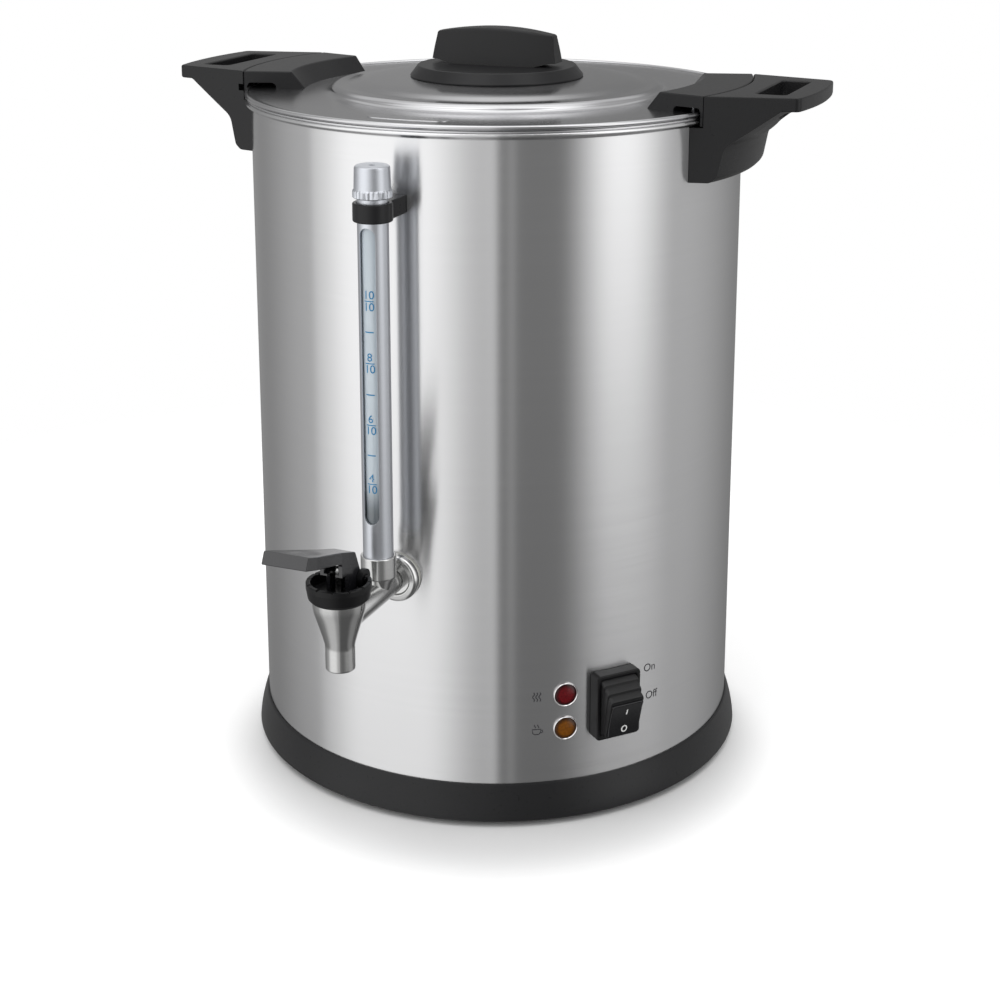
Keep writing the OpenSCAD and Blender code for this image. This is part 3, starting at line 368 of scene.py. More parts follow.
@dataclass(frozen=True)
class Steel(Finish):
    """Steel with fine brush lines.

    Attributes:
        spread: How much the roughness varies.
        grain: Direction of the brush lines.
        pitch: Spacing of the lines in millimetres.
        length: Length of the lines on the body wall in millimetres.
        depth: Depth of the lines in millimetres.
        stretch: Strength of the stretched highlight.
        axis: Where the axis of the lines lies, seen from above, in millimetres.
        tone: How much the colour varies along the lines.
    """

    spread: float
    pitch: float
    depth: float
    grain: Grain = Grain.AROUND
    length: float = 60.0
    stretch: float = 0.0
    axis: Point = (0.0, 0.0)
    tone: float = 0.1

    def lines(self, paint: Paint) -> Wire:
        """Draw out the brush lines.

        Args:
            paint: The material's tree.

        Returns:
            The vector at which the lines' noise is read.
        """
        x, y, z = paint.place()
        x, y = x - self.axis[0], y - self.axis[1]
        radius = paint.length(x, y)
        spun = self.grain is Grain.SPUN
        # The angle is carried as a point on a circle, so that the lines have no seam
        turn = 20.0 if spun else S.body_r / self.length
        return paint.vector(x / radius * turn, y / radius * turn, (radius if spun else z) / self.pitch)

    def shade(self, paint: Paint) -> dict[str, Value]:
        """Mix fine and coarse lines with a broad cloud.

        Args:
            paint: The material's tree.

        Returns:
            The Principled shader's socket values.
        """
        lines = self.lines(paint)
        fine = paint.noise(lines, 1.0, detail=4.0, rough=0.7)
        coarse = paint.noise(lines, 0.23, detail=2.0)
        cloud = paint.noise(paint.vector(*paint.place()), 0.012)
        streak = fine * 0.7 + coarse * 0.3
        tone = 1.0 + (streak - 0.5) * self.tone * 2.0 + (cloud - 0.5) * 0.06
        rough = self.rough + (streak - 0.5) * self.spread * 2.0 + (cloud - 0.5) * self.spread
        return {"Base Color": paint.scaled(self.tint, tone), "Metallic": 1.0, "Roughness": rough,
                "Anisotropic": self.stretch, "Anisotropic Rotation": 0.25,
                "Normal": paint.bump(streak, self.depth)}


@dataclass(frozen=True)
class Plastic(Finish):
    """Moulded plastic, rubber, resin or ink with a fine grain.

    Attributes:
        grain: Size of the grain in millimetres.
        depth: Depth of the grain in millimetres.
        mottle: How much the colour varies.
        shine: Strength of the surface's reflection.
    """

    grain: float = 0.45
    depth: float = 0.012
    mottle: float = 0.16
    shine: float = 0.4

    def shade(self, paint: Paint) -> dict[str, Value]:
        """Mix a moulded grain with a cloud and rubbed patches.

        Args:
            paint: The material's tree.

        Returns:
            The Principled shader's socket values.
        """
        where = paint.vector(*paint.place())
        grain = paint.noise(where, 1.0 / self.grain, detail=2.0)
        cloud = paint.noise(where, 0.05, detail=4.0)
        rub = paint.noise(where, 0.35, detail=5.0, rough=0.65)
        tone = 1.0 + (cloud - 0.5) * self.mottle + (grain - 0.5) * self.mottle
        rough = self.rough + (rub - 0.5) * 0.12 + (grain - 0.5) * 0.1
        return {"Base Color": paint.scaled(self.tint, tone), "Roughness": rough,
                "Specular IOR Level": self.shine, "Normal": paint.bump(grain, self.depth)}


@dataclass(frozen=True)
class Metal(Finish):
    """Plain, cast or drawn metal with a mottled surface.

    Attributes:
        patch: Size of the mottling in millimetres.
        depth: Depth of the surface's unevenness in millimetres.
    """

    patch: float = 4.0
    depth: float = 0.01

    def shade(self, paint: Paint) -> dict[str, Value]:
        """Mix broad patches with a fine grit.

        Args:
            paint: The material's tree.

        Returns:
            The Principled shader's socket values.
        """
        where = paint.vector(*paint.place())
        patch = paint.noise(where, 1.0 / self.patch, detail=5.0, rough=0.6)
        grit = paint.noise(where, 2.5, detail=2.0)
        rough = self.rough + (patch - 0.5) * 0.16 + (grit - 0.5) * 0.06
        return {"Base Color": paint.scaled(self.tint, 0.94 + patch * 0.12), "Metallic": 1.0,
                "Roughness": rough, "Normal": paint.bump(grit * 0.5 + patch * 0.5, self.depth)}


@dataclass(frozen=True)
class Clear(Finish):
    """Glass or clear tinted plastic.

    Attributes:
        clear: How much light passes through.
        ior: Index of refraction.
        foot: Height in millimetres below which painted shade darkens the piece, or 0 for none.
        lamp_z: Height of the lamp whose lens this is and gets painted shade at its edge, or 0 for none.
        coat: Weight of the clear skin on the surface.
    """

    clear: float
    ior: float
    foot: float = 0.0
    lamp_z: float = 0.0
    coat: float = 0.0

    def shade(self, paint: Paint) -> dict[str, Value]:
        """Tint the piece, with a film, painted shade at its foot, or a lens's facets and painted edge shade.

        Args:
            paint: The material's tree.

        Returns:
            The Principled shader's socket values.
        """
        x, y, z = paint.place()
        where = paint.vector(x, y, z)
        film = paint.noise(where, 0.12, detail=4.0)
        relief, depth = paint.noise(where, 0.6, detail=2.0), 0.004
        tone = 0.95 + film * 0.1
        if self.foot:
            # Painted shade darkens the piece below the foot height
            tone = tone * (0.3 + 0.7 * z.smooth(self.foot - 14.0, self.foot + 6.0))
        if self.lamp_z:
            # Painted shade darkens the lens towards its edge and leaves its middle lighter; it has small
            # facets inside
            middle = turned(S.lamp_a, self.lamp_z) @ Vector((0, -S.body_r, 0))
            away = paint.wire("ShaderNodeVectorMath", {"operation": "DISTANCE"},
                              {0: where, 1: middle}, "Value")
            relief = paint.wire("ShaderNodeTexVoronoi", {"feature": "F1"}, {"Vector": where, "Scale": 0.85})
            depth = 0.05
            tone = tone * (0.3 + 0.9 * away.smooth(5.6, 3.6)) * (1.25 - relief * 0.5)
        return {"Base Color": paint.scaled(self.tint, tone), "Roughness": self.rough + film * 0.05,
                "IOR": self.ior, "Transmission Weight": self.clear, "Coat Weight": self.coat,
                "Coat Roughness": 0.03, "Specular IOR Level": 0.5 if self.coat else 0.3,
                "Normal": paint.bump(relief, depth)}


class Solid:
    """A mesh in millimetres that can be cut, joined, rounded and shown.

    Attributes:
        slit: Widest slit that is closed after a cut.
        weld: Distance under which points are one before a rounding.
        flat: Bend in degrees under which faces are one before a rounding.
        shares: Shares of the wanted width that a rounding tries.
        stray: Furthest that a rounding may leave the old surface, by its width.
        fold: Largest area in which a rounded face may lie on itself.
    """

    slit = 0.002
    weld = 0.02
    flat = 0.4
    shares = (1.0, 0.8, 0.6, 0.45, 0.3)
    stray = 0.8
    fold = 6.0

    def __init__(self, bm: bmesh.types.BMesh | None = None) -> None:
        """Keep the mesh, or start an empty one."""
        self.bm = bmesh.new() if bm is None else bm

    @classmethod
    def loft(cls, rings: Sequence[Sequence[Sequence[float]]], closed: bool = False) -> "Solid":
        """Skin a row of rings with the same number of points.

        Args:
            rings: Rings of points in order.
            closed: Whether the last ring joins the first; otherwise both ends are capped.

        Returns:
            The skinned solid.
        """
        bm = bmesh.new()
        made = [[bm.verts.new(p) for p in ring] for ring in rings]
        pairs = list(zip(made, made[1:]))
        if closed:
            pairs.append((made[-1], made[0]))
        for a, b in pairs:
            n = len(a)
            for i in range(n):
                bm.faces.new((a[i], a[(i + 1) % n], b[(i + 1) % n], b[i]))
        if not closed:
            bm.faces.new(made[0][::-1])
            bm.faces.new(made[-1])
        bmesh.ops.recalc_face_normals(bm, faces=bm.faces)
        return cls(bm)

    @classmethod
    def lathe(cls, profile: Sequence[Point], segments: int, at: Point = (0.0, 0.0)) -> "Solid":
        """Turn a closed profile of (radius, height) about a vertical axis.

        Args:
            profile: Corners of the profile; corners on the axis become single points.
            segments: Steps around the axis.
            at: Place of the axis, seen from above.

        Returns:
            The turned solid.
        """
        bm = bmesh.new()
        turns = [2 * math.pi * k / segments for k in range(segments)]
        rows = []
        for r, z in profile:
            if r < 1e-6:
                rows.append([bm.verts.new((*at, z))] * segments)
            else:
                ring = [(at[0] + r * math.sin(t), at[1] - r * math.cos(t), z) for t in turns]
                rows.append([bm.verts.new(p) for p in ring])
        for a, b in zip(rows, rows[1:] + rows[:1]):
            for k in range(segments):
                n = (k + 1) % segments
                corners = list(dict.fromkeys((a[k], a[n], b[n], b[k])))
                if len(corners) > 2:
                    bm.faces.new(corners)
        bmesh.ops.recalc_face_normals(bm, faces=bm.faces)
        return cls(bm)

    @classmethod
    def sector(cls, profile: Sequence[Point], half: float, segments: int) -> "Solid":
        """Turn a closed profile about the Z axis through an angle on both sides of +X.

        Args:
            profile: Corners of the profile.
            half: Half the angle in degrees.
            segments: Steps of the turn.

        Returns:
            The turned solid.
        """
        turns = [math.radians(-half + 2 * half * k / segments) for k in range(segments + 1)]
        return cls.loft([[(r * math.cos(t), r * math.sin(t), z) for r, z in profile] for t in turns])

    @classmethod
    def prism(cls, outline: Sequence[Point], low: float, high: float) -> "Solid":
        """Raise an outline seen from above between two heights."""
        return cls.loft([[(x, y, z) for x, y in outline] for z in (low, high)])

    @classmethod
    def upright(cls, outline: Sequence[Point], near: float, far: float) -> "Solid":
        """Push an outline of (x, z) from one distance to another along -Y."""
        return cls.loft([[(x, -d, z) for x, z in outline] for d in (near, far)])

    @classmethod
    def plate(cls, outline: Sequence[Point], width: float, y0: float) -> "Solid":
        """Extrude an outline of (distance towards -Y from y0, height) across X."""
        return cls.loft([[(x, y0 - u, z) for u, z in outline] for x in (-width / 2, width / 2)])

    @classmethod
    def box(cls, low: Sequence[float], high: Sequence[float]) -> "Solid":
        """Return a box between two corners."""
        return cls.prism(rectangle(low[0], low[1], high[0], high[1]), low[2], high[2])

    @classmethod
    def wall_box(cls, width: float, height: float, near: float, far: float, corner: float) -> "Solid":
        """Return a box with rounded corners, centred in X and Z, between two distances along -Y."""
        w, h = width / 2, height / 2
        return cls.upright(fillet(rectangle(-w, -h, w, h), corner, 5), near, far)

    @classmethod
    def rod(cls, start: Sequence[float], end: Sequence[float], radius: float, segments: int = 48) -> "Solid":
        """Make a round rod.

        Args:
            start: Middle of its first end.
            end: Middle of its second end.
            radius: Its radius.
            segments: Steps around it.

        Returns:
            The rod.
        """
        a, way = Vector(start), Vector(end) - Vector(start)
        turn = way.to_track_quat("Z", "Y").to_matrix().to_4x4()
        return cls.lathe(rectangle(0, 0, radius, way.length), segments).moved(Matrix.Translation(a) @ turn)

    @classmethod
    def hull(cls, low: float, high: float) -> "Solid":
        """Return the space of the urn's body between two heights, for cutting what lies on its wall."""
        return cls.lathe(rectangle(0, low, S.wall_r, high), 288)

    def moved(self, matrix: Matrix) -> "Solid":
        """Move the solid, and turn its faces out again if the move mirrors it.

        Args:
            matrix: The move.

        Returns:
            This solid.
        """
        self.bm.transform(matrix)
        if matrix.determinant() < 0:
            bmesh.ops.reverse_faces(self.bm, faces=self.bm.faces)
        return self

    def faced(self, out: Callable[[Vector], Vector]) -> "Solid":
        """Turn the faces of an open mesh to one side.

        Args:
            out: Gives the way out at a place.

        Returns:
            This mesh.
        """
        bmesh.ops.recalc_face_normals(self.bm, faces=self.bm.faces)
        for face in self.bm.faces:
            if face.normal.dot(out(face.calc_center_median())) < 0:
                face.normal_flip()
        return self

    def held(self, name: str) -> bpy.types.Object:
        """Put the mesh in a temporary object.

        Args:
            name: The object's name.

        Returns:
            The object.
        """
        mesh = bpy.data.meshes.new(name)
        self.bm.to_mesh(mesh)
        obj = bpy.data.objects.new(name, mesh)
        bpy.context.scene.collection.objects.link(obj)
        return obj

    @staticmethod
    def baked(obj: bpy.types.Object) -> bpy.types.Mesh:
        """Return an object's mesh with its modifiers applied."""
        graph = bpy.context.evaluated_depsgraph_get()
        return bpy.data.meshes.new_from_object(obj.evaluated_get(graph), preserve_all_data_layers=True,
                                               depsgraph=graph)

    @staticmethod
    def dropped(*objs: bpy.types.Object) -> None:
        """Remove temporary objects and their meshes.

        Args:
            objs: The objects.
        """
        for obj in objs:
            mesh = obj.data
            bpy.data.objects.remove(obj)
            bpy.data.meshes.remove(mesh)

    def filled(self, mesh: bpy.types.Mesh) -> None:
        """Take over a mesh and remove it.

        Args:
            mesh: The mesh that replaces this one.
        """
        self.bm.clear()
        self.bm.from_mesh(mesh)
        bpy.data.meshes.remove(mesh)

    def combined(self, other: "Solid", how: Cut) -> "Solid":
        """Combine with another solid.

        Args:
            other: The second solid.
            how: The operation.

        Returns:
            This solid with the result.
        """
        a, b = self.held("first"), other.held("second")
        step = a.modifiers.new("step", "BOOLEAN")
        step.operation, step.solver, step.object = how.value, "EXACT", b
        mesh = self.baked(a)
        self.dropped(a, b)
        self.filled(mesh)
        # Slits that the cut leaves are closed
        bmesh.ops.remove_doubles(self.bm, verts=self.bm.verts, dist=self.slit)
        slits = [edge for edge in self.bm.edges if edge.is_boundary]
        if slits:
            bmesh.ops.holes_fill(self.bm, edges=slits, sides=0)
        return self

    def join(self, *others: "Solid") -> "Solid":
        """Join other solids to this one."""
        for other in others:
            self.combined(other, Cut.JOIN)
        return self

    def cut(self, *others: "Solid") -> "Solid":
        """Cut other solids out of this one."""
        for other in others:
            self.combined(other, Cut.CUT)
        return self

    def keep(self, other: "Solid") -> "Solid":
        """Keep what lies inside another solid too."""
        return self.combined(other, Cut.KEEP)

    def merged(self, other: "Solid") -> "Solid":
        """Add another mesh beside this one without cutting.

        Args:
            other: The other mesh.

        Returns:
            This solid with both.
        """
        mesh = bpy.data.meshes.new("merge")
        other.bm.to_mesh(mesh)
        self.bm.from_mesh(mesh)
        bpy.data.meshes.remove(mesh)
        return self

    def rounded(self, width: float, angle: float = 32.0, segments: int = 3,
                pick: Callable[[Vector], bool] = lambda middle: True) -> "Solid":
        """Round the outer edges that are sharper than an angle.

        Args:
            width: Width of the rounding, made smaller where it would leave the old surface.
            angle: Least angle in degrees.
            segments: Steps of the rounding.
            pick: Tells from an edge's middle whether it is rounded; without it, all are.

        Returns:
            This solid, rounded.
        """
        bmesh.ops.remove_doubles(self.bm, verts=self.bm.verts, dist=self.weld)
        bmesh.ops.dissolve_limit(self.bm, angle_limit=math.radians(self.flat), verts=self.bm.verts,
                                 edges=self.bm.edges)
        weight = self.bm.edges.layers.float.new("bevel_weight_edge")
        for edge in self.bm.edges:
            sharp = edge.is_manifold and edge.is_convex and edge.calc_face_angle() > math.radians(angle)
            edge[weight] = float(sharp and pick((edge.verts[0].co + edge.verts[1].co) / 2))
        skin = BVHTree.FromBMesh(self.bm)
        for share in self.shares:
            obj = self.held("round")
            step = obj.modifiers.new("step", "BEVEL")
            step.width, step.segments, step.limit_method = width * share, segments, "WEIGHT"
            step.use_clamp_overlap = False
            mesh = self.baked(obj)
            self.dropped(obj)
            stray = max(skin.find_nearest(v.co)[3] for v in mesh.vertices)
            mesh.calc_loop_triangles()
            folded = sum(t.area for t in mesh.loop_triangles) - sum(p.area for p in mesh.polygons)
            if stray < width * share * self.stray and folded < self.fold:
                self.filled(mesh)
                LOG.info("rounded by %.2f mm", width * share)
                return self
            bpy.data.meshes.remove(mesh)
        LOG.info("left with sharp edges")
        return self

    def shown(self, name: str, finish: Finish, sharp: float) -> bpy.types.Object:
        """Make the final object.

        Args:
            name: Name of the piece.
            finish: Its finish.
            sharp: Angle in degrees above which an edge stays sharp.

        Returns:
            The object, in metres at the frame's origin.
        """
        obj = self.held(name + "_raw")
        mesh = obj.data
        mesh.polygons.foreach_set("use_smooth", [True] * len(mesh.polygons))
        mesh.set_sharp_from_angle(angle=math.radians(sharp))
        step = obj.modifiers.new("step", "WEIGHTED_NORMAL")
        step.keep_sharp, step.weight = True, 95
        final = self.baked(obj)
        self.dropped(obj)
        final.transform(Matrix.Scale(MM, 4))
        final.name = name
        final.materials.clear()
        final.materials.append(finish.material())
        piece = bpy.data.objects.new(name, final)
        bpy.context.scene.collection.objects.link(piece)
        return piece


@dataclass
class Assembly:
    """A group of pieces that is built together.

    Attributes:
        body: CAD body that the pieces move with.
        crease: Angle in degrees above which an edge stays sharp.
        soft_crease: The same angle for pieces that give way.
    """

    body: str = "urn"
    crease: float = 34.0
    soft_crease: float = 30.0

    @staticmethod
    def noted(piece: bpy.types.Object, slot: str, node: str) -> None:
        """Hide the CAD node that a piece stands for, and report the piece.

        Args:
            piece: The piece.
            slot: The record's material slot; not used.
            node: The CAD node, or nothing.
        """
        if node:
            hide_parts(node)
        LOG.info("%s: %d faces", piece.name, len(piece.data.polygons))

    def add(self, name: str, solid: Solid, finish: Finish, node: str = "", body: str = "",
            slot: str = "") -> None:
        """Show a piece and tie it to the frame.

        Args:
            name: Name of the piece.
            solid: Its shape.
            finish: Its finish.
            node: CAD node that it stands for.
            body: CAD body that it moves with, if it isn't the group's own.
            slot: The record's material slot, if it hasn't the finish's name.
        """
        piece = solid.shown(name, finish, self.crease)
        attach(piece, body or self.body)
        self.noted(piece, slot or finish.name, node)

    def add_soft(self, name: str, solid: Solid, finish: Finish, node: str, bodies: tuple[str, str],
                 start: Sequence[float], end: Sequence[float]) -> None:
        """Show a piece that sits between two bodies, fixed in place and tied to neither.

        Args:
            name: Name of the piece.
            solid: Its shape.
            finish: Its finish, which has the name of the record's material slot.
            node: CAD node that it stands for.
            bodies: CAD bodies that it joins; not used.
            start: Place up to which it follows the first body; not used.
            end: Place from which it follows the second body; not used.
        """
        piece = solid.shown(name, finish, self.soft_crease)
        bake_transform(piece)
        self.noted(piece, finish.name, node)

    def build(self) -> None:
        """Build the group's pieces."""
        raise NotImplementedError


# Finishes
BODY_STEEL = Steel("brushed_body", (0.66, 0.66, 0.665), rough=0.22, spread=0.03, pitch=0.5, depth=0.002,
                   length=70.0, stretch=0.9, tone=0.05)
LID_STEEL = Steel("lid_steel", (0.55, 0.55, 0.56), rough=0.19, spread=0.02, pitch=0.5, depth=0.0008,
                  grain=Grain.SPUN, tone=0.04)
PAD_STEEL = Steel("pad_steel", (0.56, 0.56, 0.57), rough=0.27, spread=0.015, pitch=0.6, depth=0.0004,
                  grain=Grain.SPUN, tone=0.02)
TAP_STEEL = Steel("tap_chrome", (0.58, 0.58, 0.575), rough=0.16, spread=0.05, pitch=0.35, depth=0.002,
                  length=12.0, axis=(0.0, S.spout_y))
GAUGE_STEEL = Steel("gauge_chrome", (0.63, 0.65, 0.69), rough=0.4, spread=0.06, pitch=0.5, depth=0.001,
                    length=20.0, axis=(0.0, S.gauge_y))
TANK_STEEL = Steel("tank_steel", (0.60, 0.60, 0.61), rough=0.3, spread=0.06, pitch=0.6, depth=0.003,
                   length=50.0)
PLAIN_STEEL = Metal("plain_steel", (0.56, 0.57, 0.59), rough=0.34)
LAMP_CHROME = Metal("lamp_chrome", (0.74, 0.72, 0.72), rough=0.16, patch=3.0, depth=0.004)
CASTING = Metal("cast_aluminium", (0.62, 0.63, 0.65), rough=0.42, patch=2.0, depth=0.03)
SHEATH = Metal("element_sheath", (0.24, 0.2, 0.18), rough=0.44, patch=6.0)
BRASS = Metal("contact_brass", (0.62, 0.45, 0.18), rough=0.28, patch=3.0, depth=0.006)
BLACK = Plastic("black_plastic", (0.0145, 0.0145, 0.0153), rough=0.3, shine=0.22)
BEZEL_BLACK = Plastic("bezel_plastic", (0.005, 0.005, 0.0055), rough=0.36, grain=0.35, depth=0.006,
                      shine=0.24)
LEVER_BLACK = Plastic("lever_plastic", (0.01, 0.01, 0.012), rough=0.24, grain=0.35, depth=0.006, shine=0.85)
KNOB_BLACK = Plastic("knob_plastic", (0.0155, 0.0155, 0.0163), rough=0.34, shine=0.22)
SWITCH_RUBBER = Plastic("switch_plastic", (0.008, 0.008, 0.0085), rough=0.46, grain=0.3, depth=0.008)
ROCKER_BLACK = Plastic("rocker_plastic", (0.008, 0.008, 0.009), rough=0.18, grain=0.3, depth=0.003)
FOOT_RUBBER = Plastic("foot_rubber", (0.02, 0.02, 0.02), rough=0.7, grain=0.6, depth=0.03)
SILICONE = Plastic("silicone", (0.62, 0.62, 0.58), rough=0.5, grain=0.6, depth=0.01)
CREAM = Plastic("cream_bakelite", (0.6, 0.52, 0.36), rough=0.45, grain=0.5, depth=0.01)
DARK = Plastic("dark_bakelite", (0.04, 0.036, 0.035), rough=0.48, grain=0.5, depth=0.01)
NYLON = Plastic("white_nylon", (0.68, 0.68, 0.65), rough=0.42, grain=0.5, depth=0.008)
WHITE_INK = Plastic("white_ink", (0.72, 0.72, 0.71), rough=0.5, grain=0.2, depth=0.002, mottle=0.05)
GREY_INK = Plastic("grey_ink", (0.03, 0.03, 0.034), rough=0.5, grain=0.2, depth=0.002, mottle=0.1)
BLUE_INK = Plastic("blue_ink", (0.01, 0.2, 0.42), rough=0.4, grain=0.2, depth=0.002, mottle=0.1)
# The glass tube has painted shade below 200 mm
GLASS = Clear("gauge_glass", (0.66, 0.74, 0.8), rough=0.06, clear=0.22, ior=1.46, foot=200.0, coat=0.4)
# The lenses have painted shade towards their edges
RED_LENS = Clear("red_lens_plastic", (0.1, 0.0024, 0.005), rough=0.16, clear=0.1, ior=1.49, lamp_z=S.z_red)
AMBER_LENS = Clear("amber_lens_plastic", (0.145, 0.046, 0.0006), rough=0.16, clear=0.1, ior=1.49,
                   lamp_z=S.z_amber)


@dataclass
class Vessel(Assembly):
    """The steel body and its base ring.

    The wall is tucked into the base ring, and rings are heights at which its long faces are parted.
    """

    sheet: float = 0.8
    tuck: float = 3.5
    rings: tuple[float, ...] = (60.0, 200.0, 340.0)
    lip: float = 1.0
    flare: float = 4.6

    def shell(self) -> Solid:
        """Make the wall with its rolled rim.

        Returns:
            The wall.
        """
        outer, inner = S.body_r, S.body_r - self.sheet
        foot, z = S.z_wall - self.tuck, S.z_rim - S.bead_r
        profile = [(inner, foot), (outer, foot), *((outer, h) for h in self.rings),
                   (outer, z - 2.6), (outer + 0.25, z - 1.8), *arc((S.bead_cr, z), S.bead_r, -140, 140, 20),
                   (inner, z + 0.6), *((inner, h) for h in reversed(self.rings))]
        return Solid.lathe(profile, 288)

    def base(self) -> Solid:
        """Make the bulging base ring.

        Returns:
            The ring.
        """
        height, steps, top = S.z_wall - S.z_base, 20, S.body_r + self.lip
        outside = [(top + self.flare * (1 - (k / steps) ** 1.6), S.z_base + height * k / steps)
                   for k in range(steps + 1)]
        outside[0] = (outside[0][0] - 1.0, S.z_base)
        outside.insert(1, (outside[1][0] + 0.05, S.z_base + 1.0))
        outside[-1] = (top, S.z_wall - 0.5)
        inner, floor_in, floor_z = S.body_r - 3, S.body_r - 34, S.z_base + 3
        inside = [(S.body_r + 0.65, S.z_wall), (S.wall_r, S.z_wall), (S.wall_r, S.z_wall - self.tuck),
                  (inner, S.z_wall - self.tuck), (inner, floor_z), (floor_in, floor_z), (floor_in, S.z_base)]
        return Solid.lathe(outside + inside, 240)

    def build(self) -> None:
        """Build the wall and the base ring."""
        self.add("body_wall", self.shell(), BODY_STEEL, "body_shell")
        self.add("base_skirt", self.base(), BLACK, "base_ring")


@dataclass
class Lid(Assembly):
    """The lid with its wings and knob."""

    body: str = "lid"
    sheet: float = 0.8
    bead_drop: float = 0.4
    pad_in: float = 115.5
    pad_out: float = 127.0
    pad_half: float = 8.2
    bore: float = 3.1
    collar_r: float = 50.0
    collar_top: float = 45.0
    bar_half: float = 38.0
    bar_height: float = 21.0
    wing_depth: float = 22.0
    wing_half: float = 42.0
    wing_slope: float = 8.0
    wing_wall: float = 3.0

    def pan(self) -> Solid:
        """Make the pressed lid.

        Returns:
            The lid with its curled edge.
        """
        z, top = S.z_lid, S.z_lid_top
        curve = [(138.6, z), (128, z + 0.05), (116, z + 0.1), (104, z + 0.1), (98.2, z + 0.25),
                 (95.6, z + 1.2), (94.2, z + 3.0), (91.8, z + 4.3), (88.2, z + 4.5), (84.5, z + 4.8),
                 (77, z + 6.3), (69, z + 7.25), (60, z + 7.75), (52, z + 7.97), (49, top), (30, top),
                 (3.2, top)]
        upper = smooth_curve(curve, 6)
        bead = arc((S.bead_cr, z - self.bead_drop), S.bead_r, -165, 150, 24)
        lower = [(r, h - self.sheet) for r, h in reversed(upper)]
        return Solid.lathe(bead + upper + lower, 256)

    def pad(self) -> Solid:
        """Make the blank raised pad on the lid's flat ring.

        Returns:
            The pad at the tap's side.
        """
        z, low, high, half = S.z_lid, self.pad_in, self.pad_out, self.pad_half
        ring = Solid.sector(fillet(rectangle(low, z - 0.5, high, z + 0.35), [0, 0, 0.25, 0.25], 3),
                            half + 3, 40)
        middle = Solid.sector(rectangle(low - 2, z - 2, high + 2, z + 2), half, 40)
        for x, y in arc((0, 0), (low + high) / 2, -half, half, 1):
            middle.join(Solid.rod((x, y, z - 2), (x, y, z + 2), (high - low) / 2))
        return ring.keep(middle).moved(turned(-90.0))

    def plug(self) -> Solid:
        """Return the ring under the lid."""
        return Solid.lathe(fillet(rectangle(130.0, S.z_lid - 8, 130.8, S.z_lid - 0.4), 0.3, 3), 192)

    def collar(self) -> Solid:
        """Return the knob's collar."""
        profile = [(self.bore, S.z_lid_top), (self.collar_r, S.z_lid_top), (self.collar_top, S.z_collar),
                   (self.bore, S.z_collar)]
        return Solid.lathe(fillet(profile, [0, 0.6, 1.2, 0], 6), 160)

    def bar(self) -> Solid:
        """Make the knob's arched bar.

        Returns:
            The bar, with its ends undercut and its edges rounded.
        """
        rings = []
        for k in range(41):
            u = -1 + k / 20
            side, crown = 10.0 - 4.0 * u * u, self.bar_height - 3.5 * u * u
            section = fillet([(-side, 0), (side, 0), (side - 2.4, crown), (2.0, crown + 0.35),
                              (-2.0, crown + 0.35), (-side + 2.4, crown)], [0, 0, 2.2, 0, 0, 2.2], 5)
            rings.append([(u * (self.bar_half - 3.0 * z / self.bar_height), y, S.z_collar + z)
                          for y, z in section])
        bar = Solid.loft(rings)
        wedge = ((21, -1), (44, -1), (44, 2.6), (34, 2.0))
        for side in (-1, 1):
            bar.cut(Solid.loft([[(side * x, y, S.z_collar + z) for x, z in wedge] for y in (-20, 20)]))
        bar.rounded(2.2, 38.0, 5, pick=lambda p: p.z > S.z_collar + 14 and abs(p.x) > 30)
        return bar.rounded(0.6, 38.0, pick=lambda p: p.z > S.z_collar + 3.2)

    def wing(self) -> Solid:
        """Make the wing at the +X side.

        Returns:
            The wing, hollow and open towards the lid.
        """
        z, in_r, out_r = S.z_lid, S.body_r - self.wing_depth, S.seam_r - 0.5
        over, lip = z - self.bead_drop + S.bead_r + 0.4, S.body_r + 4.0
        bead_in, foot = S.bead_cr - 2.4, S.z_ledge + 0.8
        profile = [(in_r - self.wing_slope, z + 0.05), (bead_in, z + 0.05), (bead_in, over), (lip, over),
                   (lip, foot), (out_r, foot), (out_r, S.z_handle), (in_r, S.z_handle)]
        inner_x = math.sqrt(in_r ** 2 - self.wing_half ** 2)
        near, far = in_r - 50, S.seam_r + 10
        narrow, wide = (taper(x, (inner_x, self.wing_half), (S.seam_x, S.seam_half)) for x in (near, far))
        plan = [(near, -narrow), (far, -wide), (far, wide), (near, narrow)]
        wing = Solid.sector(profile, 30, 56).keep(Solid.prism(plan, S.z_ledge - 2, S.z_handle + 2))
        back, low, top = lip - 0.5, z - 3, S.z_handle - self.wing_wall
        hollow = Solid.sector([(in_r + 4, low), (back, low), (back, top), (in_r + 7, top)], 17.5, 30)
        mouth = Solid.sector(fillet(rectangle(in_r + 9, low, back, z + 3), [0, 0, 1.5, 2.5], 5), 32, 50)
        return wing.cut(hollow, mouth).rounded(0.8, pick=lambda p: p.z > z + 3.4)

    def build(self) -> None:
        """Build the lid's pieces."""
        self.add("lid_disc", self.pan().merged(self.plug()), LID_STEEL, "lid_pan")
        self.add("lid_pad", self.pad(), PAD_STEEL, slot="lid_steel")
        self.add("lid_collar", self.collar(), KNOB_BLACK, "knob_collar")
        self.add("lid_bar", self.bar(), KNOB_BLACK, "knob_bar")
        self.add("wing_right", self.wing(), BLACK, "lid_wing_right")
        self.add("wing_left", self.wing().moved(Matrix.Scale(-1, 4, (1, 0, 0))), BLACK, "lid_wing_left")


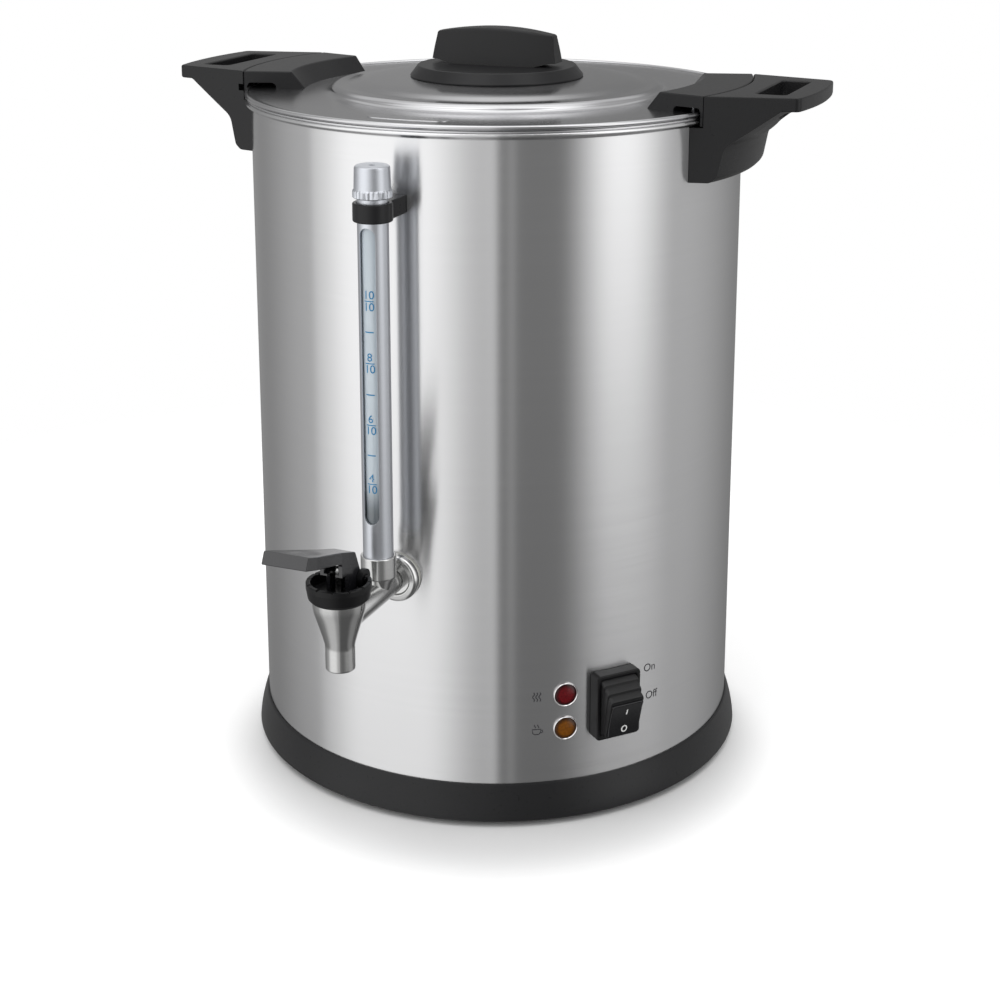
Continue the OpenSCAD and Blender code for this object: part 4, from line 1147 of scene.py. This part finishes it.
@dataclass
class Handles(Assembly):
    """The two carrying handles."""

    end_half: float = 38.5
    end_r: float = 200.0
    slot_half: float = 30.0
    slot_width: float = 16.4
    slot_rim: float = 14.0

    def handle(self) -> Solid:
        """Make the handle at the +X side.

        Returns:
            The handle, with its finger slot and latch notch.
        """
        r, far, foot = S.body_r, S.reach + 20, S.z_bracket
        profile = [(S.wall_r, foot), (r + 9.5, foot), (r + 12.5, foot + 3), (r + 15.5, foot + 19),
                   (r + 41, S.z_grip), (far, S.z_grip), (far, S.z_handle), (S.seam_r, S.z_handle),
                   (S.seam_r, S.z_ledge), (S.wall_r, S.z_ledge)]
        profile = fillet(profile, [0, 3.5, 4.0, 9.0, 2.5, 0, 0, 0, 0, 0], 5)
        near, corner_x = r - 30, S.reach - 3.9
        wide, narrow = (taper(x, (S.seam_x, S.seam_half), (S.reach, self.end_half)) for x in (near, corner_x))
        corner = math.degrees(math.asin(narrow / self.end_r))
        end = arc((S.reach - self.end_r, 0), self.end_r, -corner, corner, 8)
        plan = fillet([(near, -wide), *end, (near, wide)], [0, 4.0] + [0] * 7 + [4.0, 0], 6)
        low, high = S.z_bracket - 2, S.z_handle + 2
        slot_x = S.reach - self.slot_rim - self.slot_width
        slot = fillet(rectangle(slot_x, -self.slot_half, slot_x + self.slot_width, self.slot_half), 3.0, 6)
        latch = Solid.box((S.seam_x - 4, 44, S.z_ledge + 5.4), (S.seam_x + 3.8, 56, S.z_ledge + 9.2))
        solid = Solid.sector(profile, 30, 56).keep(Solid.prism(plan, low, high))
        solid.cut(Solid.prism(slot, low, high), latch)
        return solid.rounded(1.1, pick=lambda p: p.z > S.z_grip - 0.1)

    def build(self) -> None:
        """Build both handles from one form."""
        self.add("handle_right_grip", self.handle(), BLACK, "handle_right")
        self.add("handle_left_grip", self.handle().moved(turned(180.0)), BLACK, "handle_left")


@dataclass
class Tap(Assembly):
    """The tap with its bonnet, lever and closing spring.

    The skew turns round pieces a little, so that their faces don't meet edge to edge.
    """

    z_mouth: float = 117.8
    z_plug: float = 140.05
    z_neck: float = 157.1
    z_floor: float = 158.1
    pipe_r: float = 6.75
    skew: float = 1.3
    notches: int = 12
    ear_in: float = 6.5
    ear_out: float = 9.3
    hole_r: float = 1.56
    lever_slope: float = 18.5
    lever_length: float = 53.0
    lever_rear: float = -6.5
    lever_thick: float = 5.7
    cheek: float = 8.0
    z_web: float = 171.5
    coil_r: float = 4.4
    wire_r: float = 0.6
    coils: int = 6

    def spout(self) -> Solid:
        """Make the pipe, gauge socket and spout.

        Returns:
            The casting.
        """
        z, axis = S.tap_z, (0, S.spout_y)
        curve = smooth_curve([(7.65, 129.3), (7.85, 131.6), (8.95, 135.8), (10.7, 141.5), (12.8, 148.3),
                              (13.5, 152.0), (13.75, S.z_cup)], 5)
        skin = [(7.2, self.z_mouth), (7.6, 118.3), (7.65, 119.0), *curve, (12.0, S.z_cup)]
        inside = [(12.0, self.z_neck), (10.4, self.z_neck), (10.4, 153.3), (7.0, 133.2), (4.5, 133.2),
                  (4.5, 129.8), (5.7, 129.2), (5.7, 118.5), (6.0, 117.9)]
        pipe = Solid.rod((0, -118, z), (0, S.spout_y, z), self.pipe_r, 64)
        pipe.cut(Solid.lathe([(0, self.z_mouth), *skin, (0, S.z_cup)], 96, axis))
        socket = Solid.lathe(fillet([(0, z + 0.3), (5.8, z + 0.3), (9.4, z + 9.45), (9.4, z + 21),
                                     (8.1, z + 21), (8.1, z + 13), (0, z + 13)],
                                    [0, 0, 2.5, 0.6, 0.3, 0.3, 0], 5), 72)
        socket.moved(Matrix.Translation((0, S.gauge_y, 0)) @ turned(self.skew))
        flange = Solid.lathe(fillet([(0, 1.2), (13.25, 1.2), (13.25, 5.4), (9.2, 5.9), (8.6, 4.6), (0, 4.6)],
                                    [0, 0.5, 2.6, 0.6, 0.3, 0], 6), 96)
        flange.moved(on_wall(0.0, z) @ turned(self.skew))
        pipe.join(flange, socket)
        return pipe.merged(Solid.lathe(skin + inside, 96, axis))

    @staticmethod
    def cross_rod(start: float, end: float, radius: float, segments: int = 48) -> Solid:
        """Return a rod across the tap through the lever's pivot."""
        y = S.spout_y + S.pivot_back
        return Solid.rod((start, y, S.z_pivot), (end, y, S.z_pivot), radius, segments)

    def bonnet(self) -> Solid:
        """Make the notched bonnet with its ears.

        Returns:
            The bonnet.
        """
        y, rim = S.spout_y, S.z_bonnet
        profile = [(12.2, S.z_cup), (14.2, S.z_cup), (15.7, S.z_cup + 1.6), (16.65, rim - 3), (16.65, rim),
                   (14.35, rim), (13.9, S.z_hub), (2.2, S.z_hub), (2.2, self.z_floor), (12.2, self.z_floor)]
        solid = Solid.lathe(fillet(profile, [0, 0.6, 1.5, 0.8, 0.6, 0.5, 0.6, 0, 0, 0], 4), 120, (0, y))
        for k in range(self.notches):
            notch = Solid.rod((0, -12, rim + 0.2), (0, -20, rim + 0.2), 0.95, 20)
            solid.cut(notch.moved(Matrix.Translation((0, y, 0)) @ turned(15.7 + 360 / self.notches * k)))
        # Flush faces are set a hair apart, which keeps the cuts clean
        solid.cut(Solid.box((-self.ear_in, y + 7, S.z_hub + 0.05), (self.ear_in, y + 27, rim + 4)))
        for side in (-1, 1):
            inner, outer = sorted((side * (self.ear_in + 0.03), side * self.ear_out))
            lug = self.cross_rod(inner, outer, 5.0)
            foot = Solid.box((inner + 0.01, y + 8.83, 158.6), (outer - 0.01, y + 15.14, S.z_pivot - 0.4))
            solid.join(lug.join(foot).cut(self.cross_rod(side * 5, side * 12, self.hole_r, 36)))
        return solid

    def lever_top(self, u: float) -> float:
        """Return the height of the lever's top at a distance in front of the spout's axis."""
        return S.z_bonnet + 16.0 + u * math.tan(math.radians(self.lever_slope))

    def lever(self) -> Solid:
        """Make the lever with its paddle and hub.

        Returns:
            The lever, with its fork and thumb hollow.
        """
        top, length, rear, cheek = self.lever_top, self.lever_length, self.lever_rear, self.cheek
        slope, low = math.radians(self.lever_slope), S.z_hub + 0.3
        drop = self.lever_thick / math.cos(slope)
        side = [(rear, top(rear)), (length, top(length)), (length + 3, top(length) - drop),
                (cheek, top(cheek) - drop), (cheek, low), (-8.8, low),
                *arc((-S.pivot_back, S.z_pivot), 3.2, -60, -265, 14)]
        solid = Solid.plate(fillet(side, [1.2, 0.6, 0.6, 2.5, 0.8] + [0] * 16, 4), 26.0, S.spout_y)
        neck, paddle, bend, end = 6.2, 12.1, -length + 8, -length - 6
        plan = [(-neck, 20), (-neck, -cheek), (-paddle, bend), (-paddle, end), (paddle, end), (paddle, bend),
                (neck, -cheek), (neck, 20)]
        plan = [(x, S.spout_y + y) for x, y in fillet(plan, [0, 6, 12, 0, 0, 12, 6, 0], 6)]
        solid.keep(Solid.prism(plan, 150, 210))
        y, web, fork = S.spout_y, self.z_web, 4.2
        solid.cut(Solid.box((-fork, y - 9, web), (fork, y + 4.2, web + 7.1)),
                  Solid.box((-fork, y - 9, low - 1), (fork, y + 4.2, web - 2)),
                  Solid.box((-2.3, y - 9, low), (2.3, y + 2.6, web + 1)),
                  Solid.box((-8.0, y - 9, low - 1), (8.0, y - 1.5, web - 1)),
                  self.cross_rod(-14, 14, self.hole_r))
        # Thumb hollow in the paddle's top
        ball, ball_r, spot_u = Solid(), 60, 35
        bmesh.ops.create_uvsphere(ball.bm, u_segments=64, v_segments=48, radius=ball_r)
        spot = Matrix.Translation((0, y - spot_u, top(spot_u))) @ Matrix.Rotation(-slope, 4, "X")
        squash = Matrix.Diagonal((0.75, 1.25, 1, 1))
        solid.cut(ball.moved(spot @ Matrix.Translation((0, 0, ball_r - 1.0)) @ squash))
        return solid.rounded(0.5, 34.0, pick=lambda p: p.y < y - 11 or p.z > S.z_bonnet + 13.6)

    def pin(self) -> Solid:
        """Return the pivot pin."""
        return self.cross_rod(-9.7, 9.7, 1.5, 32).rounded(0.35, 40.0, 2)

    def spring(self) -> Solid:
        """Make the coiled closing spring between the plug and the bonnet.

        Returns:
            The spring.
        """
        wire, steps = self.wire_r, 28
        rings = []
        for k in range(self.coils * steps + 1):
            t = math.tau * k / steps
            z = self.z_plug + wire + (self.z_neck - self.z_plug - 2 * wire) * k / (self.coils * steps)
            rings.append([(r * math.sin(t), S.spout_y - r * math.cos(t), z + lift)
                          for r, lift in arc((self.coil_r, 0), wire, 0, 324, 9)])
        return Solid.loft(rings)

    def build(self) -> None:
        """Build the tap's pieces."""
        self.add("tap_casting", self.spout(), TAP_STEEL, "tap_body")
        self.add("bonnet_cup", self.bonnet(), BEZEL_BLACK, "tap_bonnet", slot="black_plastic")
        self.add("lever_paddle", self.lever(), LEVER_BLACK, "lever", "tap_lever")
        self.add("lever_pin", self.pin(), PLAIN_STEEL, "pivot_pin")
        self.add_soft("closing_spring", self.spring(), PLAIN_STEEL, "valve_spring", ("tap_stem", "urn"),
                      (0, S.spout_y, self.z_plug), (0, S.spout_y, self.z_neck))


@dataclass
class Print:
    """Marks that are laid on an upright round face.

    Attributes:
        radius: Radius of the face.
        axis: Place of the face's axis, seen from above.
        ink: The marks so far.
    """

    radius: float
    axis: Point = (0.0, 0.0)
    ink: Solid = field(default_factory=Solid)

    @staticmethod
    def text(words: str, height: float) -> Solid:
        """Write flat lettering centred on the origin of the XY plane.

        Args:
            words: The words.
            height: Height of the capitals.

        Returns:
            The lettering.
        """
        curve = bpy.data.curves.new("words", "FONT")
        curve.body, curve.size, curve.align_x, curve.align_y = words, height / 0.7, "CENTER", "CENTER"
        curve.resolution_u = 6
        obj = bpy.data.objects.new("words", curve)
        bpy.context.scene.collection.objects.link(obj)
        letters = Solid()
        letters.filled(Solid.baked(obj))
        bpy.data.objects.remove(obj)
        bpy.data.curves.remove(curve)
        return letters

    @staticmethod
    def stroke(points: Sequence[Point], width: float, closed: bool = False) -> Solid:
        """Draw a flat line of even width in the XY plane.

        Args:
            points: Points on the line.
            width: Its width.
            closed: Whether the last point joins the first.

        Returns:
            The line.
        """
        bm = bmesh.new()
        left, right = [], []
        count = len(points)
        for i, p in enumerate(points):
            before = Vector(points[i - 1] if closed or i else points[0])
            after = Vector(points[(i + 1) % count] if closed or i < count - 1 else points[-1])
            way = (after - before).normalized()
            side = Vector((-way.y, way.x)) * width / 2
            left.append(bm.verts.new((p[0] + side.x, p[1] + side.y, 0)))
            right.append(bm.verts.new((p[0] - side.x, p[1] - side.y, 0)))
        for i in range(count if closed else count - 1):
            n = (i + 1) % count
            bm.faces.new((left[i], right[i], right[n], left[n]))
        return Solid(bm)

    def lay(self, mark: Solid, angle: float, z: float) -> None:
        """Lay a flat mark on the face.

        Args:
            mark: The mark in the XY plane.
            angle: Angle of the mark's middle from the tap's side, in degrees.
            z: Height of the mark's middle.
        """
        bmesh.ops.triangulate(mark.bm, faces=mark.bm.faces)
        x, y = self.axis
        for v in mark.bm.verts:
            turn = math.radians(angle) + v.co.x / self.radius
            v.co = (x + self.radius * math.sin(turn), y - self.radius * math.cos(turn), z + v.co.y)
        self.ink.merged(mark.faced(lambda p: p - Vector((x, y, p.z))))


@dataclass
class Gauge(Assembly):
    """The sight gauge with its sleeve, glass, cap and clamp."""

    z_socket: float = 162.6
    z_clamp: float = 340.8
    z_cap: float = 352.9
    sleeve_r: float = 8.0
    slot_half: float = 4.25
    glass_r: float = 6.3
    knurls: int = 30
    strap: float = 9.7
    strap_r: float = 10.25
    strap_half: float = 7.5

    def sleeve(self) -> Solid:
        """Make the slotted sleeve.

        Returns:
            The sleeve.
        """
        sleeve = rectangle(6.8, self.z_socket - 8, self.sleeve_r, self.z_cap + 8)
        half = self.slot_half
        bottom, top = self.z_socket + 19 + half, self.z_clamp - 2.5 - half
        outline = arc((0, bottom), half, 180, 360, 16) + arc((0, top), half, 0, 180, 16)
        slot = Solid.upright(outline, 14 - S.gauge_y, -S.gauge_y)
        return Solid.lathe(sleeve, 96, (0, S.gauge_y)).cut(slot).rounded(0.25, 40.0, 2)

    def glass(self) -> Solid:
        """Return the glass tube."""
        outline = fillet(rectangle(4.9, 154.6, self.glass_r, 356.9), 0.4, 3)
        return Solid.lathe(outline, 72, (0, S.gauge_y))

    def marks(self) -> Solid:
        """Print the level marks on the glass, a fraction at each second mark.

        Returns:
            The marks.
        """
        face, height, lift = Print(self.glass_r + 0.12, (0.0, S.gauge_y)), 4.3, 3.1
        for z, tenths in ((300.6, "10"), (268.0, "8"), (235.2, "6"), (203.3, "4")):
            face.lay(Print.text(tenths, height), 0, z + lift)
            face.lay(Print.stroke([(-2.6, 0), (-0.9, 0), (0.9, 0), (2.6, 0)], 0.5), 0, z)
            face.lay(Print.text("10", height), 0, z - lift)
        for z in (284.5, 251.4, 218.9):
            face.lay(Print.stroke([(-2.4, 0), (-0.8, 0), (0.8, 0), (2.4, 0)], 0.6), 0, z)
        return face.ink

    def cap(self) -> Solid:
        """Make the cap with its knurled ring and vent.

        Returns:
            The cap.
        """
        z = self.z_cap
        profile = [(8.3, z + 0.3), (8.6, z), (9.5, z), (9.9, z + 0.4), (9.9, z + 3.6), (9.5, z + 4.2),
                   (9.4, z + 4.8), (9.1, z + 15.0), (8.7, z + 15.9), (8.0, z + 16.3), (1.6, z + 16.3),
                   (1.5, z + 16.1), (1.5, z + 8.3), (8.3, z + 8.3)]
        cap = Solid.lathe(profile, 120, (0, S.gauge_y))
        for v in cap.bm.verts:
            x, y = v.co.x, v.co.y - S.gauge_y
            if math.hypot(x, y) > 9.7 and v.co.z < z + 4.1:
                grow = 1 + 0.022 * math.cos(self.knurls * math.atan2(x, -y))
                v.co.x, v.co.y = x * grow, S.gauge_y + y * grow
        return cap

    def clamp(self) -> Solid:
        """Make the clamp that ties the gauge to the body.

        Returns:
            The clamp.
        """
        low, high = self.z_clamp, self.z_clamp + self.strap
        half, back = self.strap_half, -S.body_r + 3
        meet = math.degrees(math.acos(half / self.strap_r))
        outline = arc((0, S.gauge_y), self.strap_r, 180 - meet, 360 + meet, 72)
        outline += [(half, back), (-half, back)]
        bore = Solid.rod((0, S.gauge_y, low - 2), (0, S.gauge_y, high + 2), self.sleeve_r + 0.1, 96)
        return Solid.prism(outline, low, high).cut(bore, Solid.hull(low - 3, high + 3)).rounded(0.8, 34.0)

    def build(self) -> None:
        """Build the gauge's pieces."""
        self.add("gauge_sleeve", self.sleeve(), GAUGE_STEEL, "sight_sleeve")
        self.add("gauge_glass_tube", self.glass(), GLASS, "sight_glass")
        self.add("gauge_marks", self.marks(), BLUE_INK, slot="gauge_glass")
        self.add("gauge_top", self.cap(), GAUGE_STEEL, "sight_cap", "gauge_cap")
        self.add("gauge_clamp_band", self.clamp(), BLACK, "gauge_clamp")


@dataclass
class Panel(Assembly):
    """The switch, the pilot lamps and their marks.

    boot_start and boot_end are distances from the axis for where the boot would stay with the body and
    begin to follow the rocker; the boot is fixed in place and tied to neither.
    """

    tilt: float = 15.0
    pivot_r: float = 136.0
    face: float = 20.3
    dish_half: float = 10.7
    dish_deep: float = 0.9
    boot_start: float = 149.0
    boot_end: float = 152.0
    lens_r: float = 6.0
    letter: float = 4.6
    sign_a: float = 31.2

    @property
    def dish_r(self) -> float:
        """Return the radius of the hollow in the rocker's face."""
        return (self.dish_half ** 2 + self.dish_deep ** 2) / (2 * self.dish_deep)

    def bezel(self) -> Solid:
        """Make the switch's frame.

        Returns:
            The frame on the body wall.
        """
        solid = Solid.wall_box(27.2, 38.0, S.body_r - 4, S.body_r + 7.5, 2.2)
        opening = Solid.wall_box(22.4, 33.2, S.body_r - 6, S.body_r + 12, 1.2)
        solid.cut(opening, Solid.hull(-40, 40)).rounded(0.9, 34.0)
        return solid.moved(turned(S.switch_a, S.z_switch))

    def boot(self) -> Solid:
        """Make the stepped rubber boot between frame and rocker.

        Returns:
            The boot.
        """
        steps = 3
        turn = Matrix.Translation((0, -self.pivot_r, 0)) @ Matrix.Rotation(math.radians(self.tilt), 4, "X")

        def ring(size: float, depth: float) -> list[Vector]:
            """Make one ring of the boot.

            Args:
                size: 0 for the size of the frame's opening, 1 for that of the rocker's edge.
                depth: 0 for the frame's face, 1 for the tipped plane behind the rocker's face.

            Returns:
                The ring's points.
            """
            w, h = 11.15 - 1.35 * size, 16.5 - 5.55 * size
            outline = fillet(rectangle(-w, -h, w, h), 1.6, 5)
            flat = [Vector((x, -(S.body_r + 6.4), z)) for x, z in outline]
            tipped = [turn @ Vector((x, -18.6, z)) for x, z in outline]
            return [a.lerp(b, depth) for a, b in zip(flat, tipped)]

        rings = [ring(0, -0.25), ring(0, 0.0)]
        for k in range(steps):
            low, high = k / steps, (k + 1) / steps
            rings += [ring(low, low + 0.04), ring(low, high - 0.08), ring(low + 0.06, high - 0.01),
                      ring(high - 0.06, high), ring(high, high + 0.01)]
        rings += [ring(1.08, 1.0), ring(1.12, 0.9), ring(1.1, 0.3), ring(0.1, -0.22)]
        return Solid.loft(rings, closed=True).moved(turned(S.switch_a, S.z_switch))

    def tipped(self, solid: Solid) -> Solid:
        """Turn a piece that is drawn about the rocker's pivot into its place at rest."""
        return solid.moved(turned(S.switch_a, S.z_switch) @ Matrix.Translation((0, -self.pivot_r, 0))
                           @ Matrix.Rotation(math.radians(self.tilt), 4, "X"))

    def rocker(self) -> Solid:
        """Make the rocker's cap.

        Returns:
            The cap with its hollow face and its pivot.
        """
        cap = Solid.wall_box(19.2, 2 * self.dish_half, 7.8, self.face, 1.2)
        y = -self.face - self.dish_r + self.dish_deep
        cap.cut(Solid.rod((-14, y, 0), (14, y, 0), self.dish_r, 180))
        cap.join(Solid.box((-7, -9, -4), (7, 3, 4)), Solid.rod((-8.5, 0, 0), (8.5, 0, 0), 2.0, 32))
        return self.tipped(cap.rounded(0.7, 34.0, pick=lambda p: p.y < -9))

    def rocker_marks(self) -> Solid:
        """Print the line and the ring on the rocker's face.

        Returns:
            The marks.
        """
        ink = Print.stroke([(0, 3.2 + 0.45 * k) for k in range(9)], 0.75)
        turns = [math.tau * k / 40 for k in range(40)]
        ink.merged(Print.stroke([(1.55 * math.cos(t), -6.4 + 1.75 * math.sin(t)) for t in turns], 0.7, True))
        hollow = self.dish_r
        for v in ink.bm.verts:
            depth = self.face - self.dish_deep + hollow - math.sqrt(hollow ** 2 - v.co.y ** 2) + 0.12
            v.co = (v.co.x, -depth, v.co.y)
        return self.tipped(ink.faced(lambda p: Vector((0, -1, 0))))

    def lamp_ring(self, z: float) -> Solid:
        """Return a lamp's chromed ring."""
        profile = [(6.05, -2.0), (6.85, -2.0), (6.85, 0.7), (6.5, 1.15), (6.05, 0.6)]
        return Solid.lathe(fillet(profile, [0, 0, 0.3, 0.2, 0.1], 4), 72).moved(on_wall(S.lamp_a, z))

    def lamp_lens(self, z: float) -> Solid:
        """Make a lamp's domed lens.

        Args:
            z: Height of the lamp.

        Returns:
            The lens.
        """
        turns = [math.radians(90 - 9 * k) for k in range(10)]
        dome = [(self.lens_r * math.sin(t), 0.3 + 1.3 * math.cos(t)) for t in turns]
        profile = [(0, -1.5), (self.lens_r, -1.5), *dome, (0, 1.6)]
        return Solid.lathe(profile, 64).moved(on_wall(S.lamp_a, z))

    def words(self) -> Solid:
        """Print the marks beside the switch and the lamps.

        Returns:
            The words On and Off, the sign for heat and the cup.
        """
        face = Print(S.body_r + 0.06)
        face.lay(Print.text("On", self.letter), 59.6, 79.5)
        face.lay(Print.text("Off", self.letter), 60.3, 62.6)
        for lift in (-1.7, 0.0, 1.7):
            wave = [(lift + 0.55 * math.sin(math.tau * k / 16), -2.6 + 5.2 * k / 24) for k in range(25)]
            face.lay(Print.stroke(wave, 0.55), self.sign_a, S.z_red)
        cup = [(-2.4, 0.6), (-2.1, -1.6), (-1.2, -2.4), (1.2, -2.4), (2.1, -1.6), (2.4, 0.6)]
        face.lay(Print.stroke(cup, 0.55, True), self.sign_a, S.z_amber)
        ear = [(2.3, 0.0), (3.3, -0.1), (3.5, -0.9), (2.9, -1.5), (2.1, -1.5)]
        face.lay(Print.stroke(ear, 0.5), self.sign_a, S.z_amber)
        for lift in (-0.9, 0.9):
            puff = [(lift + 0.35 * math.sin(math.tau * k / 12), 1.4 + 2.0 * k / 12) for k in range(13)]
            face.lay(Print.stroke(puff, 0.45), self.sign_a, S.z_amber)
        return face.ink

    def build(self) -> None:
        """Build the panel's pieces."""
        self.add("switch_frame", self.bezel(), BEZEL_BLACK, "switch_bezel", slot="black_plastic")
        side, lean = math.radians(S.switch_a), math.radians(self.tilt / 2)
        out = Vector((math.sin(side), -math.cos(side), 0)) * math.cos(lean) + Vector((0, 0, -math.sin(lean)))
        foot = Vector((0, 0, S.z_switch))
        self.add_soft("switch_bellows", self.boot(), SWITCH_RUBBER, "switch_boot", ("urn", "switch_rocker"),
                      foot + out * self.boot_start, foot + out * self.boot_end)
        self.add("switch_rocker_cap", self.rocker(), ROCKER_BLACK, "rocker", "switch_rocker")
        self.add("switch_marks", self.rocker_marks(), WHITE_INK, body="switch_rocker", slot="rocker_plastic")
        rings = self.lamp_ring(S.z_red).merged(self.lamp_ring(S.z_amber))
        self.add("lamp_rings", rings, LAMP_CHROME, "lamp_bezels")
        self.add("lamp_red", self.lamp_lens(S.z_red), RED_LENS, "red_lens")
        self.add("lamp_amber", self.lamp_lens(S.z_amber), AMBER_LENS, "amber_lens")
        self.add("panel_words", self.words(), GREY_INK, slot="brushed_body")


@dataclass
class Inner(Assembly):
    """The CAD pieces that are shown as they are, with finishes of their own.

    Attributes:
        slots: Finishes that have the names of the record's material slots.
        special: Finishes of single nodes, which go before their slots' finishes.
    """

    slots: tuple[Finish, ...] = (
        TANK_STEEL, PLAIN_STEEL, FOOT_RUBBER, SILICONE, CASTING, SHEATH, CREAM, DARK, NYLON, BRASS, BLACK,
        TAP_STEEL, BODY_STEEL, LID_STEEL, GAUGE_STEEL, LAMP_CHROME, LEVER_BLACK, KNOB_BLACK, SWITCH_RUBBER,
        ROCKER_BLACK, GLASS, RED_LENS, AMBER_LENS)
    special: dict[str, Finish] = field(default_factory=lambda: {"terminal_block": DARK})

    def build(self) -> None:
        """Give each CAD node its own finish, or the finish of its slot."""
        finishes = {finish.name: finish for finish in self.slots}
        for part in frame["record"]["subparts"]:
            node = frame["nodes"][part["node"]]
            finish = self.special.get(part["node"], finishes[part["material_slot"]]).material()
            if not node.material_slots:
                node.data.materials.append(finish)
            for place in node.material_slots:
                place.material = finish
        LOG.info("inner pieces: %d nodes dressed", len(frame["nodes"]))


@dataclass(frozen=True)
class Studio:
    """The floor, the light and the camera.

    Attributes:
        azimuth: Angle of the camera from the tap's side, in degrees.
        distance: Distance of the camera from the urn's axis in millimetres.
        height: Height of the camera in millimetres.
        tilt: How far the camera looks down, in degrees.
        picture_px: Width of the photograph in pixels.
        focal_px: Focal length in pixels of the photograph.
        middle_px: Column of the photograph at which the camera points.
        px_mm: Size of a pixel on the camera's sensor in millimetres.
        shift: Shift of the lens up the picture, as a share of the picture.
        lift: Brightness that the floor adds where the camera sees it, outside the painted shadow in front of
            the urn.
    """

    azimuth: float = 22.32
    distance: float = 1072.6
    height: float = 532.9
    tilt: float = 14.19
    picture_px: float = 1000.0
    focal_px: float = 1877.5
    middle_px: float = 496.86
    px_mm: float = 0.036
    shift: float = -0.2
    lift: float = 0.36

    def camera(self) -> None:
        """Place the camera as in the photograph."""
        data = bpy.data.cameras.new("camera")
        data.sensor_width, data.lens = self.picture_px * self.px_mm, self.focal_px * self.px_mm
        data.shift_x, data.shift_y = (self.picture_px / 2 - self.middle_px) / self.picture_px, self.shift
        data.clip_start, data.clip_end = 0.05, 50.0
        obj = bpy.data.objects.new("camera", data)
        a = math.radians(self.azimuth)
        obj.location = (self.distance * math.sin(a) * MM, -self.distance * math.cos(a) * MM, self.height * MM)
        obj.rotation_euler = (math.radians(90 - self.tilt), 0, a)
        bpy.context.scene.collection.objects.link(obj)
        bpy.context.scene.camera = obj

    def floor(self) -> None:
        """Lay the pale floor that fades into the backdrop, with a painted shadow just in front of the urn."""
        bm = bmesh.new()
        bmesh.ops.create_circle(bm, cap_ends=True, segments=128, radius=1.6)
        obj = Solid(bm).held("floor")
        made = bpy.data.materials.new("floor")
        made.use_nodes = True
        paint = Paint(made.node_tree)
        x, y, _ = paint.place()
        far = paint.length(x, y).smooth(320.0, 700.0)
        speck = paint.noise(paint.vector(x, y, 0.0), 0.02)
        # Painted shadow: the floor's lift is held back just in front of the urn, so it is seen dimmer there
        a, front = math.radians(self.azimuth), 40.0
        outside_painted_shadow = paint.length(x - front * math.sin(a), y + front * math.cos(a)).smooth(108.0, 172.0)
        seen = paint.wire("ShaderNodeLightPath", output="Is Camera Ray")
        shader = paint.wire("ShaderNodeBsdfPrincipled", inputs={
            "Base Color": paint.mix(speck, (0.79, 0.79, 0.79, 1), (0.82, 0.82, 0.82, 1)),
            "Roughness": 0.6, "Specular IOR Level": 0.2,
            "Emission Color": seen * (outside_painted_shadow * outside_painted_shadow) * self.lift, "Emission Strength": 1.0})
        clear = paint.wire("ShaderNodeBsdfTransparent")
        blend = paint.wire("ShaderNodeMixShader", inputs={0: far, 1: shader, 2: clear})
        paint.node("ShaderNodeOutputMaterial", inputs={"Surface": blend})
        obj.data.materials.append(made)
        obj.visible_glossy = False

    def light(self) -> None:
        """Light the scene with a surrounding studio of pale and dark screens."""
        world = bpy.data.worlds.new("studio")
        bpy.context.scene.world = world
        world.use_nodes = True
        paint = Paint(world.node_tree)
        x, y, z = paint.split("Generated")
        a, degrees = math.radians(self.azimuth), 180 / math.pi
        ahead = x * math.sin(a) - y * math.cos(a)
        right = x * math.cos(a) + y * math.sin(a)
        turn = paint.math("ARCTAN2", right, ahead) * degrees
        rise = paint.math("ARCSINE", z) * degrees
        behind = paint.math("ARCTAN2", right, -ahead) * degrees
        # The pale screen at the left, with sharp edges, and the dimmer side beyond it
        screen = turn.smooth(-95.5, -92.0) * turn.smooth(0.8, -0.8)
        pale = (0.88 + 0.56 * turn.smooth(-94.0, -68.0) - 0.7 * turn.smooth(-36.0, -6.0)
                + 0.12 * turn.smooth(-6.0, -1.0))
        beyond = turn.smooth(0.8, -0.8) * (0.06 + 0.3 * turn.smooth(-145.0, -92.0))
        # The dark gap in front, and the softer screen at the right, which is dim low down
        gap = 0.2 * turn.band(5.2, 8.2, 1.2)
        soft = 1.5 * turn.smooth(27.0, 56.0) * turn.smooth(90.0, 60.0) * rise.smooth(-31.0, -3.0)
        tail = 0.36 * turn.smooth(60.0, 88.0) * turn.smooth(165.0, 92.0)
        walls = (0.24 + beyond) * (1.0 - screen) + pale * screen + gap + soft + tail
        dim = 0.5 + 0.5 * rise.smooth(-42.0, -12.0)
        # The ceiling's screens, seen in the lid, and a narrow one behind the urn
        ceiling = 0.5 * rise.smooth(24.0, 35.0) * behind.band(-52.0, 44.0, 14.0)
        window = 0.4 * rise.band(31.0, 38.0, 0.8) * behind.band(-9.0, 9.0, 0.8)
        over = 0.85 * rise.smooth(46.0, 66.0)
        level = walls * dim + ceiling + window + over
        seen, white = paint.wire("ShaderNodeLightPath", output="Is Camera Ray"), (1, 1, 1, 1)
        lit = paint.wire("ShaderNodeBackground", inputs={"Color": white, "Strength": level})
        backdrop = paint.wire("ShaderNodeBackground", inputs={"Color": white, "Strength": 1.0})
        mixed = paint.wire("ShaderNodeMixShader", inputs={0: seen, 1: lit, 2: backdrop})
        paint.node("ShaderNodeOutputWorld", inputs={"Surface": mixed})

    def build(self) -> None:
        """Set up the stage."""
        self.camera()
        self.floor()
        self.light()
        bpy.context.scene.view_settings.view_transform = "Standard"
        LOG.info("studio ready")


def main() -> None:
    """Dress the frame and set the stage."""
    logging.basicConfig(level=logging.INFO, format="%(message)s")
    groups: list[Assembly] = [Inner(), Vessel(), Handles(), Lid(), Tap(), Gauge(), Panel()]
    for group in groups:
        group.build()
    Studio().build()


if __name__ == "__main__":
    main()
